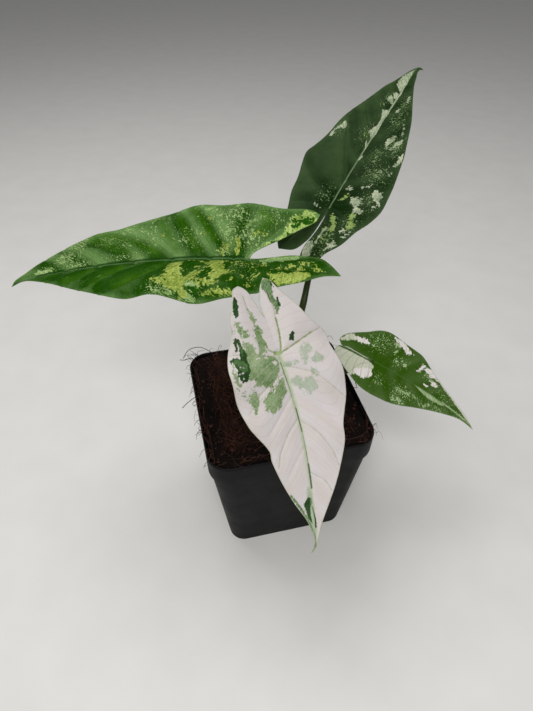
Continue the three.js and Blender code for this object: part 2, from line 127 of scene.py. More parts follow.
# Each leaf as in the part: the midrib's Bezier curve, flat outlines in millimetres (x across to the
# right hand looking to the tip, y along the midrib from the stalk), the folds of both halves, the
# waves of the margins, and the stalk's path.
LEAVES = {
    "left": {
        "midrib": [(-13.5, 10, 172), (-52, 20, 172.5), (-90.5, 31, 166.5), (-127, 42, 154)],
        "length": 120,
        "half_width": 34,
        "roll": 5,
        "rise": {"left": 18, "right": 22},
        "arch": {"left": 0.25, "right": 0.08},
        "lobe_droop": -0.25,
        "wave_length": 30,
        "wave": {"left": 1.6, "right": 0.9},
        "crest": {"left": 36, "right": 28},
        "right": [
            (-3, 118), (1.5, 118), (5, 113), (10, 106), (15, 95.5), (19, 85), (23, 75), (22.5, 64),
            (24.5, 54), (28, 44), (29.5, 34), (32, 24), (32.5, 17), (31.5, 4), (30.5, -8), (28.5, -20),
            (26, -30), (22.5, -35),
        ],
        "left": [
            (-3, 118), (-0.5, 112), (-5, 101), (-12.5, 87), (-18.5, 75), (-24, 64), (-26.5, 53),
            (-26.5, 42), (-30, 31), (-32.5, 17), (-32, 5), (-28, -4), (-24.5, -14), (-23, -24.5),
            (-19, -33.5), (-18.5, -38), (-19.5, -42.5),
        ],
        "right_notch": [(0, -1), (4.5, -5), (10, -15.5), (15, -25), (18.5, -32.5), (22.5, -35)],
        "left_notch": [
            (0, -1), (0, -6), (1, -14), (1.5, -22), (0, -30), (-3, -35), (-9.5, -38.5), (-19.5, -42.5),
        ],
        "stalk": [
            (-4.5, 1.5, 78), (-5, 1, 92), (-8, -1, 116), (-13, 1, 138), (-15.3, 8, 153), (-13.5, 10, 172),
        ],
    },
    "back": {
        "midrib": [(36, 36.5, 180), (57, 54, 199), (79.5, 74, 214.5), (102, 95.5, 226.5)],
        "length": 100,
        "half_width": 27,
        "roll": -5,
        "rise": {"left": 15, "right": 15},
        "arch": {"left": 0.15, "right": 0.15},
        "lobe_droop": 0.1,
        "wave_length": 28,
        "wave": {"left": 0.8, "right": 0.8},
        "crest": {"left": 22, "right": 8},
        "right": [
            (3.8, 99.3), (2.2, 99.2), (1.8, 97.5), (2, 95.5), (3, 92), (4.5, 86), (7.5, 78), (10, 72),
            (15, 60), (19, 47), (22, 37), (24, 26), (26, 13), (26.5, 5), (24, -2), (20, -9),
            (16.5, -18), (11, -25), (9, -31), (5, -37),
        ],
        "left": [
            (3.8, 99.3), (2, 100.7), (0.3, 100.4), (-1, 98.8), (-3, 95), (-6.5, 86), (-9.5, 80),
            (-12.5, 71.5), (-18, 58), (-20.5, 48), (-22, 40), (-25, 29), (-26.5, 22), (-23.5, 8),
            (-22, -0.5), (-19, -10), (-17.5, -19), (-15.5, -27), (-12.5, -31.5),
        ],
        "right_notch": [(0, -2), (0.5, -8), (0.3, -13.5), (-0.5, -19), (-1.5, -24.5), (-0.5, -31), (5, -37)],
        "left_notch": [
            (0, -2), (0, -6), (-0.2, -10), (-0.7, -16.5), (-2, -22), (-5.5, -28.5), (-12.5, -31.5),
        ],
        "stalk": [
            (3.5, 5, 78), (4, 5, 92), (8.5, 4, 116), (15, 7, 142), (20, 15, 153), (33.5, 35, 170),
            (36, 36.5, 180),
        ],
    },
    "front": {
        "midrib": [(-9.3, -38.2, 153), (-2.3, -55.6, 130.1), (-1.4, -74.4, 104.8), (-5, -91.5, 76.5)],
        "length": 93.5,
        "half_width": 27,
        "roll": 0,
        "rise": {"left": 12, "right": 12},
        "arch": {"left": 0.18, "right": 0.18},
        "lobe_droop": -0.05,
        "wave_length": 26,
        "wave": {"left": 0.9, "right": 0.9},
        "crest": {"left": 14, "right": 4},
        "right": [
            (1.5, 93.5), (-0.5, 88.5), (0, 84.5), (3, 77), (8, 68.5), (12.5, 58), (15.5, 47.5), (16, 41.5),
            (20.5, 32.5), (23, 26.5), (25, 15.5), (25, 2.5), (24.5, -2.5), (22, -8.5), (17.5, -15.5),
            (16, -21.5), (12, -27.5), (10, -32), (7, -33),
        ],
        "left": [
            (1.5, 93.5), (-1, 90), (-2, 86), (-4, 79), (-8, 70), (-13.5, 58.5), (-18.5, 46.5), (-19.5, 38.5),
            (-22, 33), (-25.5, 26.5), (-27, 16.5), (-25.5, 6), (-25.5, -0.5), (-20, -8.5), (-16, -17),
            (-10.5, -26), (-8, -30.5), (-5.5, -32.5),
        ],
        "right_notch": [(0, -16.5), (1, -20), (2, -24.5), (3.5, -29.5), (5.5, -32), (7, -33)],
        "left_notch": [(0, -16.5), (0, -21), (-1.5, -26), (-3, -29.5), (-5.5, -32.5)],
        "stalk": [(-1.5, -5, 78), (-1.8, -5.5, 92), (-3.5, -13, 114), (-8.5, -27, 136), (-9.3, -38.2, 153)],
    },
    "right": {
        "midrib": [(51.5, -9.5, 110.5), (71, -19, 100.5), (89, -28.5, 88), (105.5, -38, 73.5)],
        "length": 71.5,
        "half_width": 20,
        "roll": -30,
        "rise": {"left": 15, "right": 15},
        "arch": {"left": 0.15, "right": 0.15},
        "lobe_droop": 0.1,
        "wave_length": 22,
        "wave": {"left": 0.6, "right": 0.6},
        "crest": {"left": 22, "right": 8},
        "right": [
            (1, 71.5), (1, 64), (2, 58), (4, 52), (8, 41), (12, 31), (15.5, 22), (17.5, 13), (18, 4),
            (16.5, -4), (13, -11.5), (8, -19), (5, -22.5),
        ],
        "left": [
            (1, 71.5), (-0.5, 68), (-3, 61), (-5.5, 52), (-8, 43), (-12, 33.5), (-16, 25), (-17, 18),
            (-18.5, 5), (-17, -3), (-13, -9.5), (-8, -18), (-4.5, -21.5), (-2.3, -22),
        ],
        "right_notch": [(0, -1), (0.3, -5), (0, -11), (-0.2, -16), (0.5, -20.5), (2.5, -22), (5, -22.5)],
        "left_notch": [(0, -1), (-0.2, -5), (-0.5, -11), (-0.8, -16), (-0.2, -19.5), (-2.3, -22)],
        "stalk": [
            (5, -2, 78), (6, -2.2, 91), (13, -6, 100), (24, -10.5, 105), (38, -9.5, 107),
            (51.5, -9.5, 110.5),
        ],
    },
}

# Main veins that the photograph shows, as flat points from the midrib to the margin. Each leaf also
# has veins by rule, which root on the midrib at the heights in "roots", on the sides named there.
VEINS = {
    "left": {
        "drawn": [
            [(0.8, 16.5), (5, 20), (9, 22.5), (18, 28), (24, 31), (29, 34)],
            [(0.8, 5.5), (4.5, 8.5), (13, 13), (18.5, 16), (23, 18.5), (31, 25)],
            [(0.6, 35), (6, 41), (9.5, 47), (13, 53), (16, 59), (20, 66), (22.5, 74)],
            [(0.6, 54), (5, 57), (8.5, 60.5), (11.5, 65.5), (15, 71), (18.5, 82)],
            [(1, 0.5), (9, 0), (16.5, -1.5), (23.5, -3), (30.5, -5)],
            [(0.8, -0.5), (2.5, -1.5), (8, -6.5), (12.5, -11), (17.5, -16.5), (21, -22), (23, -31)],
            [(-1, 0), (-9, -1), (-18, -3), (-27, -6)],
            [(-0.8, -1), (-4, -5), (-8, -12), (-11, -20), (-13.5, -29), (-17, -38)],
        ],
        "roots": {"right": [72, 88], "left": [5.5, 17, 34, 52, 70, 88]},
    },
    "back": {
        "drawn": [
            [(-0.8, 15), (-2.5, 20), (-6, 27), (-11, 37), (-17.5, 50)],
            [(1, 0), (7, -1.5), (14, -4), (21, -7)],
            [(-1, 0), (-7, -1), (-13, -3), (-20, -6)],
            [(0.8, -1), (3.5, -6), (5.5, -14), (6.5, -22), (7, -30)],
            [(-0.8, -1), (-4, -6), (-7, -13), (-9, -20), (-12, -29)],
        ],
        "roots": {"right": [5, 16, 31, 47, 62, 77], "left": [4, 31, 46, 61, 76]},
    },
    "front": {
        "drawn": [
            [(-1, 0), (-2.2, -2.3), (-3.8, -8.1), (-4.7, -14.8), (-5.6, -20.2), (-5.6, -26.6)],
            [(0.9, -0.6), (3.9, -3.3), (4.1, -6.7), (5.6, -13.6), (5.8, -17.3), (6.3, -22.2), (6.2, -28.4)],
            [(-1, -0.4), (-2.6, -0.2), (-10.1, -1.5), (-16.6, -2.7), (-23.3, -2.9)],
            [(0.9, -0.2), (4.8, -0.5), (8.7, -1.8), (13.4, -4.3), (19.9, -7.6)],
            [(-0.5, 6.4), (-3.4, 7.7), (-7.2, 10), (-11.2, 12.8), (-14.4, 15.7), (-19.7, 22.3),
             (-24.3, 28.4)],
            [(0.4, 9.2), (3.9, 9.9), (7.1, 10.9), (10.2, 12), (15.4, 15), (21.1, 21.6)],
            [(-0.4, 31.6), (-1.8, 33.2), (-6, 37.7), (-8.4, 40.9), (-10.3, 44.4), (-12.3, 47.9),
             (-14.2, 55.4)],
            [(0.4, 31), (2.1, 32.4), (5.8, 35.5), (7.9, 38.2), (9.5, 40.9), (11.3, 44), (13.2, 50.7)],
            [(-0.6, 55.7), (-4.2, 58.4), (-6.4, 60), (-7.9, 62.1), (-9.4, 65.2)],
        ],
        "roots": {"right": [20, 44, 68], "left": [20, 44, 58, 70]},
    },
    "right": {
        "drawn": [
            [(0.8, -1), (4, -5.5), (7, -8), (12, -11)],
            [(0.8, 0), (8, -0.5), (17, -1.5)],
            [(-0.8, 0), (-8, -0.5), (-17, -2)],
            [(-0.8, -1), (-3, -6), (-4.5, -12), (-5, -18)],
        ],
        "roots": {"right": [4, 13, 25, 37, 49], "left": [4, 13, 25, 37, 49]},
    },
}


def unit(vectors):
    """Each vector divided by its length."""
    return vectors / np.linalg.norm(vectors, axis=-1, keepdims=True)


def smooth_line(points, knot_power=0.0, per_span=24):
    """A Catmull-Rom curve through points, as a dense polyline: a cubic on each span, whose end slopes
    come from the neighbours over knots set apart by distance to knot_power. The point before the first
    mirrors the second, and the point past the last mirrors the one before it."""
    p = np.asarray(points, float)
    p = np.vstack([2 * p[0] - p[1], p, 2 * p[-1] - p[-2]])
    knot = np.linalg.norm(np.diff(p, axis=0), axis=1, keepdims=True) ** knot_power
    a, b, c, d = (p[k : len(p) - 3 + k] for k in range(4))
    before, here, after = (knot[k : len(knot) - 2 + k] for k in range(3))
    leave = here * ((b - a) / before - (c - a) / (before + here) + (c - b) / here)
    arrive = here * ((c - b) / here - (d - b) / (here + after) + (d - c) / after)
    t = np.linspace(0, 1, per_span, endpoint=False)[None, :, None]
    b, c, leave, arrive = (v[:, None] for v in (b, c, leave, arrive))
    curve = b * (2 * t**3 - 3 * t**2 + 1) + leave * (t**3 - 2 * t**2 + t)
    curve = curve + c * (3 * t**2 - 2 * t**3) + arrive * (t**3 - t**2)
    return np.vstack([curve.reshape(-1, p.shape[1]), p[-2]])


def at_share(line, share):
    """Points at fractions of a polyline's length."""
    steps = np.linalg.norm(np.diff(line, axis=0), axis=1)
    along = np.append(0, np.cumsum(steps)) / steps.sum()
    return np.stack([np.interp(share, along, line[:, k]) for k in range(line.shape[1])], -1)


def line_distance(points, line):
    """Distance of each point to a polyline: the least over its segments, each met at its nearest place."""
    best = np.full(len(points), 1e6)
    line = np.asarray(line, float)
    for start, end in zip(line[:-1], line[1:]):
        run = end - start
        share = np.clip(((points - start) @ run) / max(run @ run, 1e-9), 0, 1)
        best = np.minimum(best, np.linalg.norm(points - start - share[:, None] * run, axis=1))
    return best


def vein_frame(points, lines):
    """Distance to the nearest vein, and on which side of it a point lies: +1 towards the tip, -1 towards
    the stalk. The side is the sign of the cross product with the nearest segment, turned round on the
    left half, where veins run the other way."""
    gap = np.full(len(points), 1e6)
    side = np.ones(len(points))
    for line in lines:
        line = np.asarray(line, float)
        turn = 1 if line[-1, 0] > 0 else -1
        for start, end in zip(line[:-1], line[1:]):
            run = end - start
            away = points - start
            share = np.clip((away @ run) / (run @ run), 0, 1)
            distance = np.linalg.norm(away - share[:, None] * run, axis=1)
            cross = turn * (run[0] * away[:, 1] - run[1] * away[:, 0])
            side = np.where(distance < gap, np.where(cross > 0, 1, -1), side)
            gap = np.minimum(gap, distance)
    return gap, side


def patch(*outline):
    """A mark with that outline. Its depth is the distance to the outline, positive inside, where a ray
    across the blade crosses the outline an odd number of times."""
    ring = np.array(outline + outline[:1], float)

    def depth(points):
        x, y = points.T
        inside = np.zeros(len(points), bool)
        for (ax, ay), (bx, by) in zip(ring[:-1], ring[1:]):
            if ay != by:
                inside ^= ((ay > y) != (by > y)) & (x < (bx - ax) * (y - ay) / (by - ay) + ax)
        return np.where(inside, 1, -1) * line_distance(points, ring)

    return depth


def streak(width, *line):
    """A mark along a line, of that width. Its depth is half the width less the distance to the line."""
    return lambda points: width / 2 - line_distance(points, line)


def spots(radius, *centres):
    """Round marks. Their depth is the radius less the distance to the nearest centre."""
    return lambda points: radius - np.min([np.hypot(*(points - c).T) for c in centres], axis=0)


def haze(*blobs):
    """How thickly a blade is speckled: each blob is (x, y, reach across, reach along, share of cover),
    and fades as a bell curve over its reach."""
    return lambda p: np.max([
        cover * np.exp(-(((p[:, 0] - x) / across) ** 2) - ((p[:, 1] - y) / along) ** 2)
        for x, y, across, along, cover in blobs
    ], axis=0)


def flecks(*blobs):
    """Marks that only the noise lifts over their edge, so they come out as loose flecks: the blobs are
    as in haze, and the depth is FLECK_DEPTH times their cover, less FLECK_DEPTH."""
    cover = haze(*blobs)
    return lambda points: FLECK_DEPTH * cover(points) - FLECK_DEPTH


# Marks on the blades, in flat millimetres.
MARKS = {
    "front": {
        "faint": [
            patch((-10.5, 0.5), (-13, 0.5), (-15.5, 1), (-15.5, 3), (-14.5, 4.5), (-12, 4.5), (-12, 7),
                  (-10, 8), (-9, 6), (-9, 3)),
            patch((-15, 6.5), (-17, 6.5), (-19.5, 8.5), (-17.5, 10), (-14, 10), (-13.5, 8)),
            patch((-11.5, 11.5), (-14, 12.5), (-15, 15), (-13.5, 15.5), (-11.5, 14)),
            patch((-1.5, 12.5), (-4.5, 12.5), (-6, 15), (-10, 14.5), (-12, 16), (-12.5, 20),
                  (-10.5, 21.5), (-6.5, 21), (-5, 18.5), (-2.5, 16.5), (-0.5, 14)),
            patch((-1, 4.5), (-4.5, 5), (-7.5, 6), (-6, 7.5), (-2.5, 7.5), (0, 6)),
            patch((1.5, 62), (0, 63), (-0.7, 69.5), (-1.5, 79.5), (-1.5, 88), (0.5, 83), (2.5, 79), (3, 75),
                  (3.5, 70.5), (2.5, 67)),
        ],
        "sage": [
            patch((13.5, -12), (10.5, -9), (8.5, -3), (2, 0.5), (1.5, 3), (2, 7), (5.5, 10.5), (8.5, 12),
                  (11.5, 12.5), (14, 9.5), (16, 9), (16.5, 4.5), (16.5, 0.5), (15, -3.5), (14.5, -8)),
            patch((6.5, -22.5), (5, -21.5), (5, -16), (4, -11.5), (4, -6), (4.5, -2.5), (8.5, -3),
                  (9, -7.5), (7.5, -13.5), (6.5, -15.5)),
            patch((1.5, 10.5), (2, 13), (2, 17.5), (5, 19.5), (7, 23), (9, 23.5), (11.5, 24.5), (13.5, 22),
                  (13.5, 18), (13, 15.5), (8.5, 13.5), (5.5, 11.5)),
            patch((20, 11.5), (17, 11.5), (15, 14), (14.5, 16.5), (17, 20), (18.5, 22), (18.5, 19.5),
                  (19.5, 16.5)),
            patch((15, -20), (12.5, -19), (11.5, -16), (10.5, -13.5), (11, -11.5), (10.5, -9),
                  (11.5, -5.5), (12.5, -3), (14.5, -4), (14.5, -9.5), (14.5, -15)),
            patch((23, -2), (22, -4.5), (21.5, 2), (22, 7.5), (23, 8.5), (23.5, 5)),
            patch((15.7, -9.5), (13.5, -7.5), (13, 0), (14.5, 6.5), (17.5, 6), (17.6, 2.5), (16.2, -2),
                  (15.9, -6)),
        ],
        "lobe": [
            streak(1.1, (9.3, 65), (6.8, 68.8), (4.2, 73.5), (1.6, 79), (-0.3, 84), (-0.8, 89), (0.5, 92.5)),
            patch((-4, -31.5), (-6.5, -32.6), (-8.6, -30), (-8.2, -27.5), (-7, -24.5), (-7, -22.5),
                  (-8.6, -21), (-8, -18.5), (-5.7, -16), (-5.8, -20), (-4.6, -23), (-4.4, -26.5),
                  (-3.2, -28.5)),
        ],
        "dark": [
            patch((10.3, -29.5), (9.8, -29), (10.3, -25), (11.8, -21.3), (13.5, -21.3), (13.4, -24),
                  (12.3, -27.5)),
            patch((17.6, -13.6), (16.5, -13.6), (15.5, -13), (15.1, -11), (15.3, -9.3), (14.9, -7.5),
                  (14.8, -5.5), (15.2, -4), (15.2, -2.5), (15.3, -1), (15.8, 1), (16.7, 2.2), (17.4, 3.7),
                  (19, 5.1), (20.6, 5), (21.4, 3.5), (21.6, 2), (22, 0.5), (21.2, -1), (21, -3), (21.2, -4),
                  (22.6, -5), (22.1, -6.1), (20.5, -6.5), (19, -5.6), (18, -5.2), (17.1, -6.5),
                  (16.9, -8), (16.5, -10.4), (16.6, -11.6), (17, -9.6), (17.7, -8.4), (18.5, -8.6),
                  (18.1, -10), (18.2, -12)),
            patch((-7.3, -32), (-8.8, -29.8), (-8.8, -27.3), (-7.8, -28), (-7.6, -29.6)),
            streak(1.1, (-8.3, -22.2), (-8.3, -19)),
            patch((-7.5, -6), (-9.5, -7), (-10, -5.5), (-9, -3), (-7, -3.5)),
            patch((1.5, 66.8), (0, 67.5), (-0.3, 69.5), (0.9, 71.5), (0.9, 75.5), (0.1, 79.5), (1.3, 78),
                  (2.3, 76), (3, 72.5), (3.8, 70.5), (3, 68.5)),
            streak(0.7, (0, 71.5), (-0.6, 75), (-1.1, 78), (-1.1, 81)),
        ],
        "moss": [
            patch((20.6, -5.6), (18, -4.7), (16.6, -3.5), (16.3, -1.5), (16.8, 0.6), (18.8, 0.8),
                  (20.3, -1.5), (20.1, -3), (21.2, -4.6)),
            streak(0.5, (16.2, -10), (16, -7.5), (16.2, -6)),
        ],
        "line": [
            streak(0.5, (0.6, 4), (0.6, 8.5), (0.5, 13)),
            streak(0.3, (0.5, 13), (0.2, 27.5), (-0.2, 35.5), (-0.4, 55.5)),
            streak(0.55, (0.1, 26), (-0.2, 37)),
            streak(0.8, (-0.4, 52), (-0.5, 58.5), (-0.5, 63)),
        ],
        "stem": [
            streak(1.5, (1.5, -1), (0.2, -0.4), (-1.2, 0)),
            streak(0.75, (-1, 0), (-2.2, -2.3), (-3.8, -8.1), (-4.7, -14.8)),
            streak(0.6, (-1, -0.2), (-2.6, -0.2), (-10.1, -1.5), (-19, -2.8)),
            streak(0.5, (0.9, -0.6), (3.9, -3.3), (4.1, -6.7), (5.2, -12)),
        ],
        "white": [
            patch((4.6, 2), (3, 1.8), (2, 3.4), (3.6, 4.2)),
            spots(0.4, (20.8, 0.6), (19.3, 1), (19.8, 3.5)),
            spots(0.25, (19.5, -2), (20.2, -2.7), (18.3, -1.2)),
            patch((14, -13), (12.6, -12.2), (11, -12), (9.6, -10.6), (8.9, -9), (9, -7.8), (10, -9),
                  (11.3, -8.6), (12, -10), (13, -10), (13.6, -11)),
            patch((9.6, -6.4), (8.6, -5.5), (9.4, -3.6), (10.4, -4.4), (10.5, -5.5)),
            streak(0.3, (12.5, -16), (12.6, -15), (13.4, -13.6)),
            streak(0.3, (6, -0.5), (8, -1.8), (11, -2.2)),
            streak(0.35, (4.5, 10), (9, 16.5)),
        ],
        "speckle": haze((21, 11.5, 2, 4, 0.6), (17, 10, 3, 3, 0.5), (17.5, -16.5, 2, 3, 0.5),
                        (8.5, 17.5, 3, 3, 0.5), (19.5, -3, 3, 4, 0.5), (5, 17, 2, 3, 0.5)),
    },
    "left": {
        # Dark streaks beside the midrib: painted shade in its groove.
        "shade": [
            streak(1.1, (1, 1), (1, 40), (0.9, 75), (0.6, 105)),
            streak(0.5, (-0.8, 4), (-0.7, 60), (-0.4, 105)),
        ],
        # Soft broad bands of saturated green: painted light where the blade's bulges face the light, laid
        # over the painted reflection.
        "painted_light_bands": [
            streak(3, (-6.5, 39.5), (-11.5, 44.5), (-14, 52), (-18, 57.5)),
            streak(3, (-4.5, 59), (-9.5, 64.5), (-15, 69.5)),
            streak(2.5, (-4, 74.5), (-8.5, 80), (-9.5, 85.5)),
            streak(1, (-0.5, 94.5), (-0.5, 101)),
            streak(3, (28, 26), (20.5, 21.5), (10.5, 16)),
            streak(2.5, (24.5, 32.5), (15.5, 29), (6, 23.5)),
            streak(3, (20, 73), (17, 65), (11.5, 53.5), (5, 43)),
            streak(2.5, (18.5, 78), (13, 68), (7, 58)),
            streak(1.5, (23.5, 43.5), (12.5, 37), (5.5, 33.5)),
            streak(3, (25.5, -7.5), (20.5, -11), (14.5, -6)),
        ],
        "pale": [
            patch((-2, -5.5), (0.5, -11.5), (1, -18.5), (1, -25), (-1.5, -25), (-4, -21.5), (-4, -14.5),
                  (-4, -7)),
            patch((22, -3.5), (17.5, -2), (16.5, 0), (21, -1)),
            patch((31, 21.5), (31.5, 16.5), (28.5, 15.5), (28, 19.5)),
            patch((31.5, 6.5), (31, 2.5), (29.5, 4)),
            flecks((15, 9, 6, 4, 0.62), (9, 2, 6, 4, 0.66), (22, 9, 6, 10, 0.5), (20, -9, 6, 8, 0.55)),
            streak(1.1, (1, -2), (7.5, -9), (12, -18), (18, -31.5)),
            patch((-21, 25.5), (-21, 20), (-24.5, 19), (-24, 23), (-25, 24.5), (-28.5, 20.5), (-31.5, 19),
                  (-31.5, 22.5), (-29.5, 26.5), (-26.5, 25.5)),
            streak(0.8, (-24.5, 39.5), (-27.5, 33.5), (-27.5, 29.5)),
            streak(1.2, (2.5, 98), (2.5, 106)),
        ],
        "yellow": [
            patch((-5, 35), (-4.5, 28.5), (-8, 29), (-12, 29), (-16, 27), (-17, 25), (-13, 24.5),
                  (-11.5, 21), (-15, 19.5), (-18, 21.5), (-20, 21.5), (-21.5, 25), (-25, 25.5),
                  (-28, 23.5), (-29.5, 26.5), (-27, 28.5), (-25, 32), (-22, 34.5), (-20, 38.5),
                  (-20, 41.5), (-18, 42), (-17.5, 37), (-14.5, 35), (-9.5, 34.5)),
            patch((-3.5, 18.5), (-3, 9.5), (-8.5, 9.5), (-12, 8), (-15.5, 4), (-16.5, 7.5), (-15.5, 10.5),
                  (-17, 11), (-20, 13.5), (-21.5, 10.5), (-23, 12.5), (-23, 16), (-21.5, 18.5),
                  (-19.5, 18), (-18.5, 15), (-15.5, 15), (-11.5, 14.5), (-8, 16.5)),
            streak(0.7, (-2.5, 26.5), (-3, 18.5), (-3, 10), (-4, 0.5)),
            streak(0.9, (-10.5, 21), (-11, 17.5)),
            streak(1.3, (-20, 21), (-24, 18)),
            patch((-27.5, 18), (-26.5, 14.5), (-27.5, 9.5), (-28, 5), (-30, 3.5), (-31, 9), (-29, 15.5)),
            streak(0.9, (-4.5, -0.5), (-5.5, -5), (-7, -10)),
            patch((-17, -11), (-17, -16), (-16.5, -23), (-15.5, -27), (-17.5, -29.5), (-20.5, -27),
                  (-22.5, -25), (-23.5, -15.5), (-21, -13)),
            streak(1, (-13, -19.5), (-14, -23), (-13.5, -27.5)),
            streak(0.8, (-9, -20.5), (-9.5, -23)),
            streak(0.9, (-7.5, -27.5), (-10.5, -29.5)),
            streak(0.9, (-12.5, -31.5), (-13.5, -33.5), (-15, -34.5)),
            spots(0.6, (-13, -12.5), (-16, -7), (-22.5, 5), (-23.5, -2), (-10, -14), (-9.5, -6)),
            flecks((-7, 4.5, 6, 6, 0.84), (-18.5, -2, 8, 8, 0.8), (-10, -6, 7, 6, 0.8),
                   (-12, -16, 5, 8, 0.82), (-12, -26, 5, 9, 0.84), (-8, 20, 4, 8, 0.62),
                   (7, 7, 5, 5, 0.62), (18, -16, 6, 5, 0.55)),
            streak(1, (4.5, 12), (2, 10.5)),
            streak(1.6, (9.5, 4), (3, 4)),
            streak(1, (9, 11), (3, 8)),
            streak(1.1, (13.5, -4.5), (12.5, -8.5)),
            spots(0.3, (14, 21.5), (12.5, 20.7), (13, 40), (10.5, 40), (18, 30), (15.5, 27.8), (24, 19)),
        ],
        "lime": [
            patch((12, -17.5), (18.5, -19), (23, -22), (25, -28), (24.5, -32.5), (22, -34), (18, -32.5),
                  (14.5, -28), (11.5, -22), (8, -17.5), (6.5, -13.5), (5.5, -9.5), (4, -6.5), (7.5, -9),
                  (9, -13)),
        ],
        "green": [
            patch((21.5, -22), (22, -29.5), (20, -31.5), (18.5, -28.5), (19.5, -22)),
            patch((17.5, -21), (19.5, -25.5), (17.5, -26), (15, -22)),
            patch((18.5, -27), (21.5, -32), (20, -32), (17.5, -28.5)),
            patch((-24, 25.5), (-24, 21.5), (-25, 19.5), (-26, 21.5), (-25.5, 23.5)),
            spots(0.6, (13, -20), (9, -13), (15.5, -30), (22.5, -26), (-25, 25), (-19, 34)),
        ],
        "speckle": haze((16, 84, 6, 7, 0.6), (9, 90, 6, 9, 0.62), (3, 100, 3, 9, 0.62),
                        (16, 70, 6, 8, 0.5), (12, 60, 6, 8, 0.5), (3, 83, 4, 10, 0.55),
                        (14, 46, 8, 7, 0.42), (24, 44, 5, 8, 0.42), (12, 27, 9, 9, 0.45),
                        (15, 8, 9, 7, 0.52), (24, 8, 7, 14, 0.5), (23, -10, 7, 10, 0.45),
                        (12, -2, 8, 7, 0.56), (4, 11, 4, 5, 0.5), (-24, 36, 6, 8, 0.6),
                        (-10, 0, 9, 6, 0.3), (-22, 26, 9, 9, 0.5), (4, 60, 3, 14, 0.42),
                        (20, 58, 5, 8, 0.42)),
    },
    "back": {
        "pale": [
            patch((-0.5, 98), (0.5, 86), (0.5, 80.5), (-0.5, 79), (-3.5, 82), (-5, 85), (-4, 91.5)),
            patch((-2, 78.5), (-0.5, 77.5), (0, 73.5), (-1.5, 73.5), (-3, 76.5)),
            patch((-4.5, 71.5), (-3.5, 75), (-1, 72.5), (0, 69), (-2.5, 70)),
            patch((-3, 64), (-1, 64.5), (0, 65.5), (0, 61.5), (0.5, 58.5), (1, 51.5), (1, 46.5),
                  (0.5, 43), (-1.5, 46.5), (-3, 48), (-2, 51), (-1, 53), (-1, 57), (-2, 61)),
            patch((-1.5, 41), (-1.5, 42.5), (0.5, 39), (0.5, 36.5)),
            streak(0.8, (6.5, 73), (6.5, 75), (6, 77)),
            patch((4.5, 63.5), (4, 66), (5, 68), (5.5, 65.5), (5, 63.5)),
            patch((9.5, 42), (9, 45.5), (10.5, 47.5), (11.5, 49), (12.5, 46.5), (11.5, 43), (11.5, 39)),
            patch((14, 42), (14, 45), (16, 47.5), (17, 46), (16, 44), (14.5, 42)),
            streak(0.8, (13, 39.5), (14.5, 39.5)),
            streak(0.8, (14.5, 50), (14, 52)),
            streak(0.5, (13, 55), (12.5, 57)),
            patch((20.5, 33.5), (19.5, 36.5), (21, 39), (22.5, 37.5), (22, 34)),
            patch((-17, 48.5), (-15.5, 46.5), (-16.5, 44), (-19.5, 42), (-19, 37), (-20.5, 37.5),
                  (-20.5, 41), (-19.5, 45.5)),
            patch((8.5, 7.5), (10.5, 9), (13.5, 8), (15, 5.5), (14.5, 3.5), (17.5, 2), (17.5, 0.5),
                  (14, 0), (13, 0.5), (13, 3), (12, 4), (10, 4.5)),
            patch((16.5, 12.5), (18, 15.5), (20.5, 14), (21.5, 16), (23, 12.5), (22.5, 10.5), (24.5, 7),
                  (22.5, 5), (21, 5), (22, 7.5), (20.5, 9), (18, 11)),
            patch((-2, -22.5), (1, -20), (3, -22.5), (2.5, -25.5), (4.5, -28), (0, -30), (-1.5, -27)),
            patch((10.5, -19.5), (12, -17.5), (14, -19), (12, -21), (9.5, -23)),
            patch((3, 11.5), (4.5, 13.5), (6.5, 13), (6.5, 11.5), (5, 11.5)),
            streak(0.7, (13.5, 15.5), (15, 16.5)),
            streak(0.6, (-8, -2), (-6.5, -2.5), (-4.5, -2.5)),
            patch((19, 31), (20.5, 35), (20.5, 40), (22.5, 35), (21.5, 31.5), (20.5, 29.5)),
            streak(0.8, (20, 25.5), (20.5, 27.5)),
            streak(1, (13, -11.5), (14, -11)),
            streak(0.9, (15.5, -13.5), (17.5, -10.5)),
            streak(0.7, (3, -21), (3.5, -16), (4, -11.5)),
            streak(1, (0.5, 30), (1, 32.5)),
            streak(0.9, (0.4, 80), (0.3, 60)),
            streak(0.5, (0.3, 60), (0.3, 46), (0.3, 30)),
            streak(0.35, (0.3, 30), (0.2, 14), (0.1, 3)),
            spots(0.5, (15.5, 5.5), (11.5, 24), (11, 14.5)),
            flecks((15, 40, 6, 8, 0.68), (15, 24, 8, 8, 0.66), (6, -18, 4, 9, 0.72), (7, 66, 4, 9, 0.6)),
        ],
        "yellow": [
            patch((2.5, 4.5), (4, 7.5), (5.5, 9.5), (6.5, 7.5), (4.5, 5.5)),
            patch((13, -2), (14.5, -1), (17.5, -2), (15.5, -3), (17.5, -6), (17, -9), (15.5, -9.5),
                  (13.5, -7), (14, -5)),
            patch((2.5, -4.5), (4, -3.5), (6.5, -5), (8, -8.5), (9, -12), (8, -13.5), (6, -11),
                  (5, -7.5)),
            flecks((5, -17, 4, 8, 0.8), (9, 44, 5, 8, 0.55), (5, 62, 3, 6, 0.55), (-4, 44, 3, 6, 0.6)),
        ],
        "speckle": haze((8, 60, 5, 9, 0.5), (6, 72, 4, 7, 0.5), (15, 42, 6, 8, 0.58),
                        (14, 24, 8, 8, 0.55), (18, 8, 6, 7, 0.48), (15, -6, 6, 6, 0.45),
                        (7, -16, 5, 9, 0.6), (10, -26, 5, 6, 0.58), (-4, 70, 3, 6, 0.42),
                        (-4, 46, 4, 8, 0.5), (-18, 44, 4, 5, 0.5), (-5, 5, 5, 6, 0.4),
                        (3, -22, 3, 8, 0.5), (8, 33, 6, 8, 0.45)),
    },
    "right": {
        "cream": [
